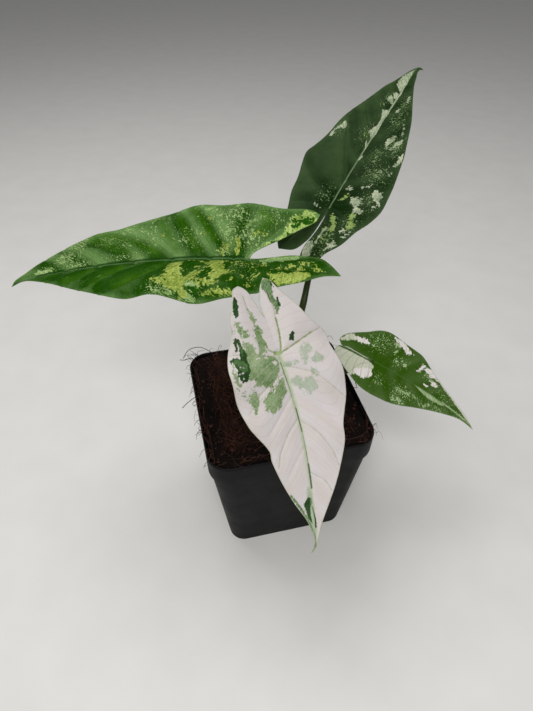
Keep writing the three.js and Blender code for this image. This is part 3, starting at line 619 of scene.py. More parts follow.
            patch((1.2, -21.5), (1.1, -15), (1.1, -9), (1.2, -3), (2.2, 0.2), (3.2, 1.2), (5, 0), (7, 1.5),
                  (9.5, 0.5), (11, -1.5), (11.5, -4), (13, -6), (12.5, -9), (14, -11.5), (10, -19),
                  (5, -24)),
            patch((-3.3, -22), (-7.2, -19), (-8.2, -15.5), (-7.2, -13), (-5.5, -14), (-4.5, -17.5),
                  (-2.4, -21)),
        ],
        "white": [
            patch((-17.6, 5.5), (-18.3, 8), (-18, 11), (-16.5, 14), (-15, 16), (-14, 18), (-12.5, 16.5),
                  (-12, 14.5), (-13.5, 13), (-15, 11.5), (-15.5, 9.5), (-16, 7)),
            patch((-7, -15), (-8.5, -13.5), (-9, -9), (-8, -6), (-7, -5), (-6.5, -8.5), (-6, -12.5)),
            patch((-10.5, 25.5), (-12.5, 27.5), (-10, 27), (-7.5, 24.5)),
            patch((-10.5, 28), (-12.5, 30.5), (-12, 35), (-10.5, 39.5), (-9, 38), (-9, 34.5), (-8.5, 32.5),
                  (-9.5, 30)),
            patch((-6.5, 34), (-7.5, 36.5), (-7, 39), (-5, 38.5), (-5, 36)),
            streak(0.9, (-3, 31.5), (-3, 33.5)),
            patch((4.5, -1), (6.8, 1.3), (8.5, 1.3), (8.8, -0.6), (10.8, -2.2), (12.3, -6), (11.9, -10),
                  (9, -8), (6, -4.5)),
            spots(0.8, (-14.5, 6.5)),
        ],
        "rim": [
            streak(1.3, (-10, 38), (-7.1, 46), (-4.5, 55), (-2.7, 61), (-0.7, 67.8), (0.4, 71)),
        ],
        "pale": [
            patch((0, 27), (1.5, 31), (2.5, 36), (2.4, 41), (1.8, 46), (0.5, 48), (-0.3, 45.5), (-0.3, 38),
                  (-0.2, 32)),
            streak(0.9, (-0.2, 46.5), (-0.3, 58), (0, 69)),
            spots(0.7, (8, 18), (7.8, 20.5), (7.5, 23.5), (6.5, 25.5), (6.5, 29.5), (14, 17.5), (13, 20),
                  (12.5, 21.5), (7, 37), (6, 39), (-6, 11), (-6.5, 17), (-14, 8.5), (-11, 9)),
        ],
        "speckle": haze((-10, -3, 5, 7, 0.6), (-13, 0, 4, 6, 0.55), (-7, 13, 4, 6, 0.5),
                        (8, 21, 5, 7, 0.58), (13, 20, 4, 6, 0.6), (7, 32, 3, 9, 0.45),
                        (5, 46, 3, 10, 0.5), (-4, 46, 4, 9, 0.42), (-9, 32, 4, 8, 0.5),
                        (-15, 8, 4, 6, 0.5), (9, 6, 5, 5, 0.4), (1, 60, 3, 6, 0.42)),
    },
}


def bezier(control, t):
    """The cubic Bezier curve with four control points, at each t."""
    p = np.asarray(control, float)
    t = t[..., None]
    return (1 - t) ** 3 * p[0] + 3 * (1 - t) ** 2 * t * p[1] + 3 * (1 - t) * t**2 * p[2] + t**3 * p[3]


def bezier_slope(control, t):
    """The Bezier curve's derivative by t."""
    p = np.asarray(control, float)
    t = t[..., None]
    steps = (1 - t) ** 2 * (p[1] - p[0]) + 2 * (1 - t) * t * (p[2] - p[1]) + t**2 * (p[3] - p[2])
    return 3 * steps


def blade_axes(leaf, y):
    """Across, along and up at each place on the midrib: across starts level and turns by the roll."""
    along = unit(bezier_slope(leaf["midrib"], np.clip(y / leaf["length"], 0, 1)))
    level = unit(np.cross(along, [0, 0, 1.0]))
    lift = np.cross(level, along)
    roll = math.radians(leaf["roll"])
    across = level * math.cos(roll) + lift * math.sin(roll)
    return across, along, np.cross(across, along)


def by_side(x, values):
    """The value of the left half where x is negative, and of the right half elsewhere."""
    return np.where(x < 0, values["left"], values["right"])


def blade_surface(leaf, x, y):
    """Flat points laid on the living blade: the midrib is a Bezier curve, each half rises from it by
    its angle, less towards the tip, and arches down by the square of x, the lobes droop by the square
    of their length, and the margins wave as a cosine along y that grows with the square of x."""
    length, half_width = leaf["length"], leaf["half_width"]
    across, along, up = blade_axes(leaf, y)
    share = np.clip(y / length, 0, 1)
    overrun = np.minimum(y, 0) + np.maximum(y - length, 0)
    slope = np.tan(np.radians(by_side(x, leaf["rise"]))) * (1 - 0.6 * share)
    height = slope * (np.hypot(x, MIDRIB_ROUNDING) - MIDRIB_ROUNDING)
    height -= by_side(x, leaf["arch"]) * x**2 / half_width
    height -= leaf["lobe_droop"] * np.minimum(y, 0) ** 2 / length
    phase = TURN * (y - by_side(x, leaf["crest"])) / leaf["wave_length"]
    height += by_side(x, leaf["wave"]) * np.minimum(np.abs(x) / half_width, 1.2) ** 2 * np.cos(phase)
    middle = bezier(leaf["midrib"], share) + overrun[:, None] * along
    return middle + x[:, None] * across + height[:, None] * up


def blade_sheet(leaf):
    """The flat blade as a grid between midrib and margins, in two halves. Rows run from the tip to the
    notch, where both halves share the midrib, and then along each rear lobe, and columns run from the
    midrib or notch to the margin. Returns points, triangles, and the margin as a closed loop."""
    length = leaf["length"]
    notch = leaf["left_notch"][0][1]
    share = np.linspace(0, 1, MIDRIB_ROWS + 1)
    onward = np.linspace(0, 1, LOBE_ROWS + 1)[1:]
    dense = np.linspace(0, 1, 2001)
    margins = {side: smooth_line(leaf[side]) for side in SIDES}
    shoulder = notch + 0.06 * length
    tip_bend = 0.25
    at_notch = {}
    for side in SIDES:
        heights = at_share(margins[side], dense)[:, 1]
        at_notch[side] = dense[np.argmax(heights <= shoulder)]
    between = sum(at_share(margins[side], share * at_notch[side]) for side in SIDES) / 2
    midline = np.stack([0 * share, length + (notch - length) * share], 1)
    midline += (between - midline) * (np.maximum(0, 1 - share / tip_bend) ** 2)[:, None]
    across = np.linspace(0, 1, COLUMNS + 1)[None, :, None]
    rows = MIDRIB_ROWS + LOBE_ROWS + 1
    index, grids, triangles = {}, [], []
    for number, side in enumerate(SIDES):
        outer_share = np.append(share * at_notch[side], at_notch[side] + onward * (1 - at_notch[side]))
        outer = at_share(margins[side], outer_share)
        inner = np.vstack([midline, at_share(smooth_line(leaf[side + "_notch"]), onward)])
        grids.append((inner[:, None] + (outer - inner)[:, None] * across).reshape(-1, 2))
        first = number * rows * (COLUMNS + 1)
        index[side] = first + np.arange(rows * (COLUMNS + 1)).reshape(rows, COLUMNS + 1)
        index[side][-1] = index[side][-1, 0]
    index["right"][0] = 0
    index["left"][0] = 0
    index["left"][: MIDRIB_ROWS + 1, 0] = index["right"][: MIDRIB_ROWS + 1, 0]
    for side in SIDES:
        a, b = index[side][:-1, :-1], index[side][:-1, 1:]
        d, c = index[side][1:, :-1], index[side][1:, 1:]
        corners = [(a, c, b), (a, d, c)] if side == "right" else [(a, b, c), (a, c, d)]
        triangles += [np.stack(corner, -1).reshape(-1, 3) for corner in corners]
    right, left = index["right"], index["left"]
    loop = np.concatenate([
        right[:, -1], right[-2 : MIDRIB_ROWS - 1 : -1, 0], left[MIDRIB_ROWS + 1 :, 0], left[-2:0:-1, -1],
    ])
    triangles = np.vstack(triangles)
    a, b, c = triangles.T
    triangles = triangles[(a != b) & (b != c) & (c != a)]
    used, small = np.unique(triangles, return_inverse=True)
    return np.vstack(grids)[used], small.reshape(-1, 3), np.searchsorted(used, loop)


def vein_slope(share):
    """How steeply a side vein leaves the midrib towards the tip: shallow at the lobes, steep later on."""
    return np.clip(0.25 + 3.5 * (share - 0.08), -0.9, 1.15)


def ruled_veins(name):
    """The veins by rule: y grows from the root with the slope above, and with the square of x."""
    leaf, lines = LEAVES[name], []
    for side, sign in (("right", 1), ("left", -1)):
        for root in VEINS[name]["roots"][side]:
            x = np.linspace(0.6, leaf["half_width"] * 1.1 * (1 - 0.75 * root / leaf["length"]), 12)
            y = root + vein_slope(root / leaf["length"]) * x + VEIN_BEND * x**2 / leaf["half_width"]
            lines.append(np.stack([sign * x, y], 1))
    return lines


def vein_grain(leaf, x, y):
    """Where a flat point lies among the side veins: the height on the midrib of the vein through it,
    found by repeating the rule for that vein."""
    bend = VEIN_BEND * x**2 / leaf["half_width"]
    root = y.copy()
    for _ in range(4):
        root = y - vein_slope(root / leaf["length"]) * np.abs(x) - bend
    return root


def add_piece(name, points, faces, material, replaced, attributes=None, sharp_angle=None):
    """Puts points in millimetres and faces of one size into a new mesh in metres, smooth shaded, and
    tells the frame what it stands for."""
    mesh = bpy.data.meshes.new(name)
    mesh.vertices.add(len(points))
    mesh.vertices.foreach_set("co", (np.asarray(points) * MM).astype(np.float32).ravel())
    mesh.loops.add(faces.size)
    mesh.loops.foreach_set("vertex_index", faces.astype(np.int32).ravel())
    mesh.polygons.add(len(faces))
    mesh.polygons.foreach_set("loop_start", np.arange(0, faces.size, faces.shape[1], dtype=np.int32))
    mesh.polygons.foreach_set("use_smooth", np.ones(len(faces), bool))
    mesh.update(calc_edges=True)
    for key, values in (attributes or {}).items():
        kind, field = ("FLOAT", "value") if values.ndim == 1 else ("FLOAT_VECTOR", "vector")
        made = mesh.attributes.new(key, kind, "POINT")
        made.data.foreach_set(field, values.astype(np.float32).ravel())
    if sharp_angle:
        mesh.set_sharp_from_angle(angle=math.radians(sharp_angle))
    mesh.materials.append(material)
    piece = bpy.data.objects.new(name, mesh)
    bpy.context.scene.collection.objects.link(piece)
    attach(piece, "root")
    if replaced:
        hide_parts(replaced)
    return piece


def bell(distance, reach):
    """A bell curve: 1 at no distance, and e to the minus square of distance by reach elsewhere."""
    return np.exp(-((distance / reach) ** 2))


def vein_swing(points, lines, reach):
    """How far a point lies on the stalk side of the veins near it, from -1, the tip side, to 1. Each
    vein of its half adds a wave that is 0 on the vein, largest at the reach and soon gone."""
    total = np.zeros(len(points))
    for line in lines:
        gap, side = vein_frame(points, [line])
        share = gap / reach
        total -= (points[:, 0] * line[-1][0] > 0) * side * share * np.exp((1 - share**2) / 2)
    return np.clip(total, -1, 1)


def blade_painted_sheen(name, flat, lines, margin_gap):
    """How much painted reflection a point gets, from 0 to 1: the light's grey-green reflection on the waxy
    blade, painted into its colour. It sinks on the tip side of each vein, as painted shade, and grows on its
    stalk side, as painted highlight, most at PAINTED_SHEEN_REACH from it, so each vein divides dark from
    light. This swing is less in the lobes. The painted reflection also grows at the margin and sinks round
    the joint."""
    tones = PAINTED_SHEEN[name]
    base = np.where(flat[:, 0] < 0, tones["left"][0], tones["right"][0])
    swing = np.where(flat[:, 0] < 0, tones["left"][1], tones["right"][1])
    calm = np.clip((flat[:, 1] + SWING_FADE) / (2 * SWING_FADE), 0.3, 1)
    swing = swing * calm * vein_swing(flat, lines, PAINTED_SHEEN_REACH[name])
    edge = tones["edge"] * bell(margin_gap, EDGE_PAINTED_SHEEN_REACH)
    joint = tones["joint"] * np.exp(-np.sum(flat**2, 1) / JOINT_PAINTED_SHEEN_SPREAD)
    return np.clip(base + swing + edge - joint, 0, 1)


def build_blade(name, material):
    """One leaf blade: the sheet laid on its surface, puffed up between the veins and creased along
    them, with ribs below and a rounded margin. Marks go into attributes as depths in millimetres."""
    leaf, marks = LEAVES[name], MARKS[name]
    flat, faces, loop = blade_sheet(leaf)
    x, y = flat.T
    share = np.clip(y / leaf["length"], 0, 1)
    drawn = [smooth_line(line, 0.5, 5) for line in VEINS[name]["drawn"]]
    veins = drawn + ruled_veins(name)
    drawn_gap = vein_frame(flat, drawn)[0]
    vein_gap = vein_frame(flat, veins)[0]
    margin_gap = line_distance(flat, np.vstack([flat[loop[::3]], flat[loop[:1]]]))
    size = leaf["half_width"] / 30
    fade = 1 - bell(margin_gap, MARGIN_FLAT)
    puff = (1 - bell(vein_gap, PUFF_REACH)) * (1 - bell(x, MIDRIB_FLAT))
    crease = bell(vein_gap, CREASE_REACH) * (CREASE_AT_MARGIN + (1 - CREASE_AT_MARGIN) * fade)
    channel = bell(x, CHANNEL_REACH) * (1 - share) * (y > -2)
    relief = QUILTING[name] * size * (puff * fade - CREASE_DEPTH * crease) - CHANNEL_DEPTH * channel
    run_x = blade_surface(leaf, x + SLOPE_STEP, y) - blade_surface(leaf, x - SLOPE_STEP, y)
    run_y = blade_surface(leaf, x, y + SLOPE_STEP) - blade_surface(leaf, x, y - SLOPE_STEP)
    normal = unit(np.cross(run_x, run_y))
    upper = blade_surface(leaf, x, y) + relief[:, None] * normal
    thickness = BLADE_MARGIN_THICKNESS + (BLADE_CENTRE_THICKNESS - BLADE_MARGIN_THICKNESS) * fade
    rib_reach = MIDRIB_RIB_GROWTH * (1 - share) + MIDRIB_RIB_REACH
    ribs = MIDRIB_RIB_DEPTH * (1 - share) ** 0.7 * bell(x, rib_reach) * (y > -3)
    ribs = ribs + VEIN_RIB_DEPTH * size * bell(vein_gap, VEIN_RIB_REACH) * fade
    lower = upper - (thickness + ribs)[:, None] * normal
    ends = upper[loop]
    outward = unit(np.cross(normal[loop], np.roll(ends, -1, 0) - np.roll(ends, 1, 0)))
    edge = (ends + lower[loop]) / 2 + BLADE_EDGE_BULGE * outward
    count = len(flat)
    ring = 2 * count + np.arange(len(loop))
    p, q, pe, qe = loop, np.roll(loop, -1), ring, np.roll(ring, -1)
    walls = [(p, q, qe), (p, qe, pe), (pe, qe, q + count), (pe, q + count, p + count)]
    faces = np.vstack([faces, faces[:, ::-1] + count] + [np.stack(wall, 1) for wall in walls])
    broad, narrow = MIDRIB_BAND[name]
    band = narrow + (broad - narrow) * (1 - share)
    fields = {
        "flat": np.stack([x, y, 0 * x], 1),
        "grain": np.stack([np.abs(x) * GRAIN_STRETCH[name], vein_grain(leaf, x, y), np.sign(x) * 9], 1),
        "vein": VEIN_HALF_WIDTH - np.minimum(drawn_gap, MARK_FAR),
        "midrib": np.where(y > -1.5, band - np.minimum(np.abs(x), MARK_FAR), -5),
        "margin": MARGIN_LINE_WIDTH - np.minimum(margin_gap, MARK_FAR),
        "painted_sheen": blade_painted_sheen(name, flat, veins, margin_gap),
        "rough": np.clip((np.abs(x) - 0.5) / 4, 0.12, 1),
    }
    for layer, shapes in marks.items():
        if layer == "speckle":
            fields[layer] = shapes(flat)
        else:
            depths = [shape(flat) for shape in shapes]
            fields[layer] = np.clip(np.max(depths, axis=0), -MARK_FAR, MARK_DEPTH)
    attributes = {key: np.concatenate([v, v, v[loop]]) for key, v in fields.items()}
    attributes["under"] = np.repeat([0.0, 1.0, 0.5], [count, count, len(loop)])
    points = np.vstack([upper, lower, edge])
    return add_piece("leaf_blade_" + name, points, faces, material, "blade_" + name, attributes)


def linear(hex_colour):
    """An sRGB hex colour as linear RGBA."""
    s = np.array([int(hex_colour[k : k + 2], 16) / 255 for k in (1, 3, 5)])
    rgb = np.where(s <= 0.04045, s / 12.92, ((s + 0.055) / 1.055) ** 2.4)
    return (*rgb.tolist(), 1.0)


def add_node(tree, kind, sockets=(), out=0, **settings):
    """Adds one node with its settings, feeds its sockets with values or links, and returns one output."""
    node = tree.nodes.new(kind)
    for key, value in settings.items():
        setattr(node, key, value)
    for key, value in dict(sockets).items():
        if isinstance(value, bpy.types.NodeSocket):
            tree.links.new(value, node.inputs[key])
        else:
            node.inputs[key].default_value = value
    return node.outputs[out]


def new_material(name):
    """A material with its Principled shader, and the tree they are in."""
    material = bpy.data.materials.new(name)
    material.use_nodes = True
    return material, material.node_tree, material.node_tree.nodes["Principled BSDF"]


# How strongly each blade is puffed up between its veins, in millimetres on a half 30 mm wide.
QUILTING = {"left": 1.9, "back": 0.8, "front": 0.7, "right": 0.6}

# How much shorter the grain's noise is read along the side veins, which draws it out that way.
GRAIN_STRETCH = {"left": 0.6, "back": 0.6, "front": 0.85, "right": 0.6}

# Half the width of the midrib's own colour, at the joint and at the tip.
MIDRIB_BAND = {"left": (0.5, 0.25), "back": (0.3, 0.15), "front": (1.1, 0.1), "right": (0.4, 0.2)}

# How far from a vein its two sides differ most in painted light and shade, in millimetres.
PAINTED_SHEEN_REACH = {"left": 3.3, "back": 2.6, "front": 2.3, "right": 2.0}

# How much painted reflection each half has, the light's grey-green reflection painted into its colour: its
# middle and swing, and what the margin adds and the joint takes away.
PAINTED_SHEEN = {
    "left": {"right": (0.42, 0.6), "left": (0.02, 0.16), "edge": 0.3, "joint": 0.0},
    "back": {"right": (0.38, 0.2), "left": (0.6, 0.3), "edge": 0.3, "joint": 0.7},
    "front": {"right": (0.5, 0.35), "left": (0.5, 0.35), "edge": 0.0, "joint": 0.0},
    "right": {"right": (0.45, 0.3), "left": (0.45, 0.3), "edge": 0.25, "joint": 0.6},
}

# Each blade's ground and marks: (attribute, two tones, ragged edge in mm, fine edge in mm, softness
# in mm, cover). Later marks lie over earlier ones. The ground's first tone is without painted reflection,
# and its second is the painted reflection: the grey-green of the light on the waxy blade, painted in.
# Then come the tones of the fine speckles, the underside and the faint lines along the side veins, the
# specular level, and how far fine noise mixes the two tones of a mark.
FINISHES = {
    "front": {
        "ground": ("#c2b9b4", "#c6c0c0"),
        "layers": [
            ("faint", ("#7f9274", "#a6b09c"), 0.9, 0.8, 0.5, 0.8),
            ("sage", ("#486a2e", "#95a67e"), 0.9, 0.8, 0.35, 0.97),
            ("lobe", ("#2c5018", "#7a926a"), 0.1, 0.4, 0.25, 1.0),
            ("vein", ("#7c8a58", "#8b9468"), 0.0, 0.1, 0.2, 0.85),
            ("dark", ("#0c2a04", "#34542a"), 0.1, 0.45, 0.12, 1.0),
            ("moss", ("#35552a", "#5f7c4a"), 0.1, 0.5, 0.3, 0.8),
            ("stem", ("#5c7824", "#7d9044"), 0.0, 0.2, 0.3, 0.9),
            ("white", ("#c8bfbb", "#c5bfba"), 0.1, 0.3, 0.2, 0.92),
            ("midrib", ("#93a878", "#a6b491"), 0.0, 0.15, 0.6, 0.75),
            ("line", ("#2c4a1c", "#3c5c2c"), 0.0, 0.2, 0.12, 0.9),
            ("margin", ("#a3a688", "#959c78"), 0.1, 0.1, 0.15, 0.6),
        ],
        "speckle": ("#5f7f4c", "#839a72"),
        "under": "#b0ae9c",
        "lines": "#b2aa9e",
        "gloss": 0.25,
        "mottle": 0.2,
    },
    "left": {
        "ground": ("#163c00", "#5e7d46"),
        "layers": [
            # Painted light: saturated green bands where the blade's bulges face the light.
            ("painted_light_bands", ("#264c04", "#3b6408"), 0.3, 0.1, 2.6, 0.88),
            # Painted shade in the midrib's groove.
            ("shade", ("#0f2c04", "#16350a"), 0.1, 0.1, 0.3, 0.9),
            ("pale", ("#5f8040", "#9aae78"), 1.5, 1.4, 0.25, 0.92),
            ("yellow", ("#5c7020", "#9caa56"), 1.0, 1.4, 0.18, 0.97),
            ("lime", ("#6a8830", "#a9ba72"), 1.3, 1.5, 0.2, 0.97),
            ("green", ("#153c00", "#1f4c06"), 1.2, 1.1, 0.2, 1.0),
            # On this green blade the vein lines are painted darker: painted shade in the creases along the
            # veins.
            ("vein", ("#143204", "#1a3c08"), 0.0, 0.1, 0.2, 0.6),
            # Here the midrib's grey-green line is a painted highlight along its rounded face.
            ("midrib", ("#3a5630", "#4c6a40"), 0.0, 0.15, 0.35, 0.8),
            ("margin", ("#48642c", "#587438"), 0.1, 0.1, 0.2, 0.5),
        ],
        "speckle": ("#6f8c48", "#98ac74"),
        "under": "#4a6436",
        "lines": "#2c5210",
        "gloss": 0.02,
        "mottle": 0.35,
    },
    "back": {
        # The ground's greens are darker than the same green on the left leaf: painted shade, as this leaf
        # gets less light.
        "ground": ("#091f02", "#324526"),
        "layers": [
            ("pale", ("#69785c", "#adb297"), 0.6, 0.9, 0.12, 0.95),
            ("yellow", ("#5f7838", "#8fa062"), 0.7, 1.0, 0.15, 0.95),
            # On this green blade the vein lines are painted darker: painted shade in the creases along the
            # veins.
            ("vein", ("#0a2002", "#102a06"), 0.0, 0.1, 0.2, 0.6),
            ("midrib", ("#5c7050", "#6c7e5e"), 0.0, 0.15, 0.2, 0.7),
            ("margin", ("#3c4c36", "#465641"), 0.1, 0.1, 0.2, 0.6),
        ],
        "speckle": ("#456030", "#74885c"),
        "under": "#2c4022",
        "lines": "#1c3810",
        "gloss": 0.04,
        "mottle": 0.35,
    },
    "right": {
        "ground": ("#2c4a04", "#48602f"),
        "layers": [
            ("cream", ("#b0b49c", "#bcbcac"), 0.9, 0.6, 0.2, 0.98),
            ("white", ("#cbc4be", "#d2ccc8"), 0.6, 0.7, 0.15, 1.0),
            ("rim", ("#b4b6a0", "#c8c4b8"), 0.15, 0.4, 0.2, 1.0),
            ("pale", ("#7f9860", "#a9b694"), 0.8, 1.0, 0.2, 0.95),
            # On this green blade the vein lines are painted darker: painted shade in the creases along the
            # veins.
            ("vein", ("#1f4408", "#244c0e"), 0.0, 0.1, 0.2, 0.4),
            ("midrib", ("#3a5f24", "#44692e"), 0.0, 0.15, 0.3, 0.5),
            ("margin", ("#5a784a", "#7f8a6c"), 0.1, 0.1, 0.2, 0.5),
        ],
        "speckle": ("#64884a", "#9cb080"),
        "under": "#4f6c3e",
        "lines": "#2c5610",
        "gloss": 0.05,
        "mottle": 0.35,
    },
}


def leaf_finish(name, finish):
    """A waxy leaf, grown, with a cuticle that gives a soft broad gloss. Marks are areas of leaf tissue
    with less green in them: their edges follow the cells, so they are ragged along the side veins.
    Fine net veins, about 1.6 mm apart, and pores give the surface its fine grain. Pores are finer in
    life, and are drawn about 0.35 mm apart so that they show. Faint lines run along the side veins."""
    material, tree, shader = new_material("waxy_leaf_" + name)
    flat = add_node(tree, "ShaderNodeAttribute", out="Vector", attribute_name="flat")
    grain = add_node(tree, "ShaderNodeAttribute", out="Vector", attribute_name="grain")
    lanes = add_node(tree, "ShaderNodeMapping", {"Vector": grain, "Scale": (0.3, 1.0, 1.0)})
    noises = {}
    for key, where, size, detail in (
        ("cloud", flat, 8.0, 3), ("ragged", grain, 2.4, 4), ("fine", grain, 0.8, 2),
        ("dots", grain, 1.0, 2), ("dust", flat, 0.7, 1),
    ):
        noise = add_node(tree, "ShaderNodeTexNoise", {"Vector": where, "Scale": 1 / size, "Detail": detail})
        noises[key] = add_node(tree, "ShaderNodeMapRange", {
            "Value": noise, "From Min": 0.3, "From Max": 0.7, "To Min": -1.0, "To Max": 1.0,
        }, clamp=False)
    rough = add_node(tree, "ShaderNodeAttribute", out="Fac", attribute_name="rough")
    for key in ("ragged", "fine"):
        noises[key] = add_node(tree, "ShaderNodeMath", {0: noises[key], 1: rough}, operation="MULTIPLY")
    # The ground's second tone is painted reflection: the painted_sheen attribute mixes it in, grey-green
    # where the blade would reflect the light and darker as painted shade on the tip side of each vein, with
    # random mottle from the noises.
    painted_sheen = add_node(tree, "ShaderNodeAttribute", out="Fac", attribute_name="painted_sheen")
    painted_sheen_and_mottle = add_node(tree, "ShaderNodeMath", {0: noises["cloud"], 1: 0.22, 2: painted_sheen},
                      operation="MULTIPLY_ADD")
    painted_sheen_and_mottle = add_node(tree, "ShaderNodeMath", {0: noises["dust"], 1: 0.1, 2: painted_sheen_and_mottle},
                      operation="MULTIPLY_ADD", use_clamp=True)
    colour = add_node(tree, "ShaderNodeMix", {
        0: painted_sheen_and_mottle, 6: linear(finish["ground"][0]), 7: linear(finish["ground"][1]),
    }, out=2, data_type="RGBA")
    blend = add_node(tree, "ShaderNodeMath", {0: noises["cloud"], 1: 0.35, 2: 0.5}, operation="MULTIPLY_ADD")
    for key in ("dots", "dust"):
        blend = add_node(tree, "ShaderNodeMath", {0: noises[key], 1: finish["mottle"], 2: blend},
                         operation="MULTIPLY_ADD", use_clamp=True)
    cover = add_node(tree, "ShaderNodeAttribute", out="Fac", attribute_name="speckle")
    speckle_tone = add_node(tree, "ShaderNodeMix", {
        0: blend, 6: linear(finish["speckle"][0]), 7: linear(finish["speckle"][1]),
    }, out=2, data_type="RGBA")
    limit = add_node(tree, "ShaderNodeMapRange", {"Value": cover, "From Max": 0.15, "To Max": 0.9})
    for key, weight, start in (("dust", 1.6, 1.15), ("dots", 1.5, 1.05)):
        reach = add_node(tree, "ShaderNodeMath", {0: cover, 1: weight, 2: noises[key]},
                         operation="MULTIPLY_ADD")
        speckle = add_node(tree, "ShaderNodeMapRange", {
            "Value": reach, "From Min": start, "From Max": start + 0.25, "To Max": limit,
        })
        colour = add_node(tree, "ShaderNodeMix", {0: speckle, 6: colour, 7: speckle_tone},
                          out=2, data_type="RGBA")
    bands = add_node(tree, "ShaderNodeTexWave", {"Vector": lanes, "Scale": 0.1, "Distortion": 1.5,
                                                 "Detail": 2.0, "Detail Scale": 0.5},
                     bands_direction="Y", wave_profile="SIN")
    lines = add_node(tree, "ShaderNodeMapRange", {"Value": bands, "From Min": 0.93, "To Max": 0.3})
    for key, tones, ragged, fine, soft, most in finish["layers"]:
        depth = add_node(tree, "ShaderNodeAttribute", out="Fac", attribute_name=key)
        depth = add_node(tree, "ShaderNodeMath", {0: noises["ragged"], 1: ragged, 2: depth},
                         operation="MULTIPLY_ADD")
        depth = add_node(tree, "ShaderNodeMath", {0: noises["fine"], 1: fine, 2: depth},
                         operation="MULTIPLY_ADD")
        mask = add_node(tree, "ShaderNodeMapRange", {
            "Value": depth, "From Min": -soft, "From Max": soft, "To Max": most,
        })
        tone = add_node(tree, "ShaderNodeMix", {0: blend, 6: linear(tones[0]), 7: linear(tones[1])},
                        out=2, data_type="RGBA")
        colour = add_node(tree, "ShaderNodeMix", {0: mask, 6: colour, 7: tone}, out=2, data_type="RGBA")
        if key == "vein":
            vein_mask = mask
            colour = add_node(tree, "ShaderNodeMix", {0: lines, 6: colour, 7: linear(finish["lines"])},
                              out=2, data_type="RGBA")
    under = add_node(tree, "ShaderNodeAttribute", out="Fac", attribute_name="under")
    dull = add_node(tree, "ShaderNodeMath", {0: under, 1: 0.55}, operation="MULTIPLY")
    colour = add_node(tree, "ShaderNodeMix", {0: dull, 6: colour, 7: linear(finish["under"])},
                      out=2, data_type="RGBA")
    tree.links.new(colour, shader.inputs["Base Color"])
    gloss = add_node(tree, "ShaderNodeMapRange", {
        "Value": noises["cloud"], "From Min": -1.0, "To Min": 0.4, "To Max": 0.5,
    })
    gloss = add_node(tree, "ShaderNodeMath", {0: under, 1: 0.2, 2: gloss}, operation="MULTIPLY_ADD")
    tree.links.new(gloss, shader.inputs["Roughness"])
    bands = add_node(tree, "ShaderNodeMapRange", {"Value": bands, "From Min": 0.8, "To Max": -0.02})
    net = add_node(tree, "ShaderNodeTexVoronoi", {"Vector": grain, "Scale": 1 / 1.6},
                   feature="DISTANCE_TO_EDGE")
    net = add_node(tree, "ShaderNodeMapRange", {
        "Value": net, "From Max": 0.12, "To Min": -0.02, "To Max": 0.0,
    })
    height = add_node(tree, "ShaderNodeMath", {0: noises["dust"], 1: 0.012, 2: net},
                      operation="MULTIPLY_ADD")
    height = add_node(tree, "ShaderNodeMath", {0: height, 1: bands}, operation="ADD")
    height = add_node(tree, "ShaderNodeMath", {0: vein_mask, 1: -0.08, 2: height},
                      operation="MULTIPLY_ADD")
    bump = add_node(tree, "ShaderNodeBump", {"Height": height, "Distance": MM, "Strength": 1.0},
                    out="Normal")
    tree.links.new(bump, shader.inputs["Normal"])
    shader.inputs["IOR"].default_value = 1.42
    shader.inputs["Specular IOR Level"].default_value = finish["gloss"]
    shader.inputs["Subsurface Weight"].default_value = 0.1
    shader.inputs["Subsurface Radius"].default_value = (0.7, 1.0, 0.4)
    shader.inputs["Subsurface Scale"].default_value = 0.8 * MM
    return material


def loft(rings):
    """Skins stacks of rings, an array of stacks by levels by sides by xyz, counter-clockwise seen from
    the last ring: two triangles join neighbours, and a fan closes each end."""
    stacks, levels, sides = rings.shape[:3]
    index = np.arange(stacks * levels * sides).reshape(stacks, levels, sides)
    turned = np.roll(index, -1, 2)
    a, b, c, d = index[:, :-1], turned[:, :-1], turned[:, 1:], index[:, 1:]
    first, last = index[:, 0], index[:, -1]
    hub = np.repeat(first[:, :1], sides - 2, 1)
    far_hub = np.repeat(last[:, :1], sides - 2, 1)
    parts = [
        (a, b, c), (a, c, d), (hub, first[:, 2:], first[:, 1:-1]), (far_hub, last[:, 1:-1], last[:, 2:]),
    ]
    return rings.reshape(-1, 3), np.vstack([np.stack(part, -1).reshape(-1, 3) for part in parts])


def tubes(paths, radii, sides):
    """Round tubes along paths, an array of tubes by stations by xyz. Each ring's first direction is the
    one before it, made square to the path, so the tubes don't twist."""
    along = unit(np.gradient(paths, axis=1))
    start = np.cross(along[:, 0], [0.31, 0.57, 0.76])
    normals = [unit(start)]
    for station in range(1, paths.shape[1]):
        before, ahead = normals[-1], along[:, station]
        normals.append(unit(before - np.sum(before * ahead, -1, keepdims=True) * ahead))
    normal = np.stack(normals, 1)[:, :, None]
    other = np.cross(along[:, :, None], normal)
    angle = (np.arange(sides) / sides * TURN)[:, None]
    ring = normal * np.cos(angle) + other * np.sin(angle)
    return paths[:, :, None] + ring * np.asarray(radii)[..., None, None]


def stalk_path(leaf, stations):
    """The stalk's centre line. It ends just under the blade."""
    t = np.linspace(0, 1, stations)
    path = at_share(smooth_line(leaf["stalk"], 0.5), t)
    up = blade_axes(leaf, np.zeros(1))[2]
    near_blade = np.clip((t - 0.86) / 0.14, 0, 1)
    drop = near_blade**2 * (STALK_TOP_RADIUS + 0.1)
    return path - drop[:, None] * up[0]


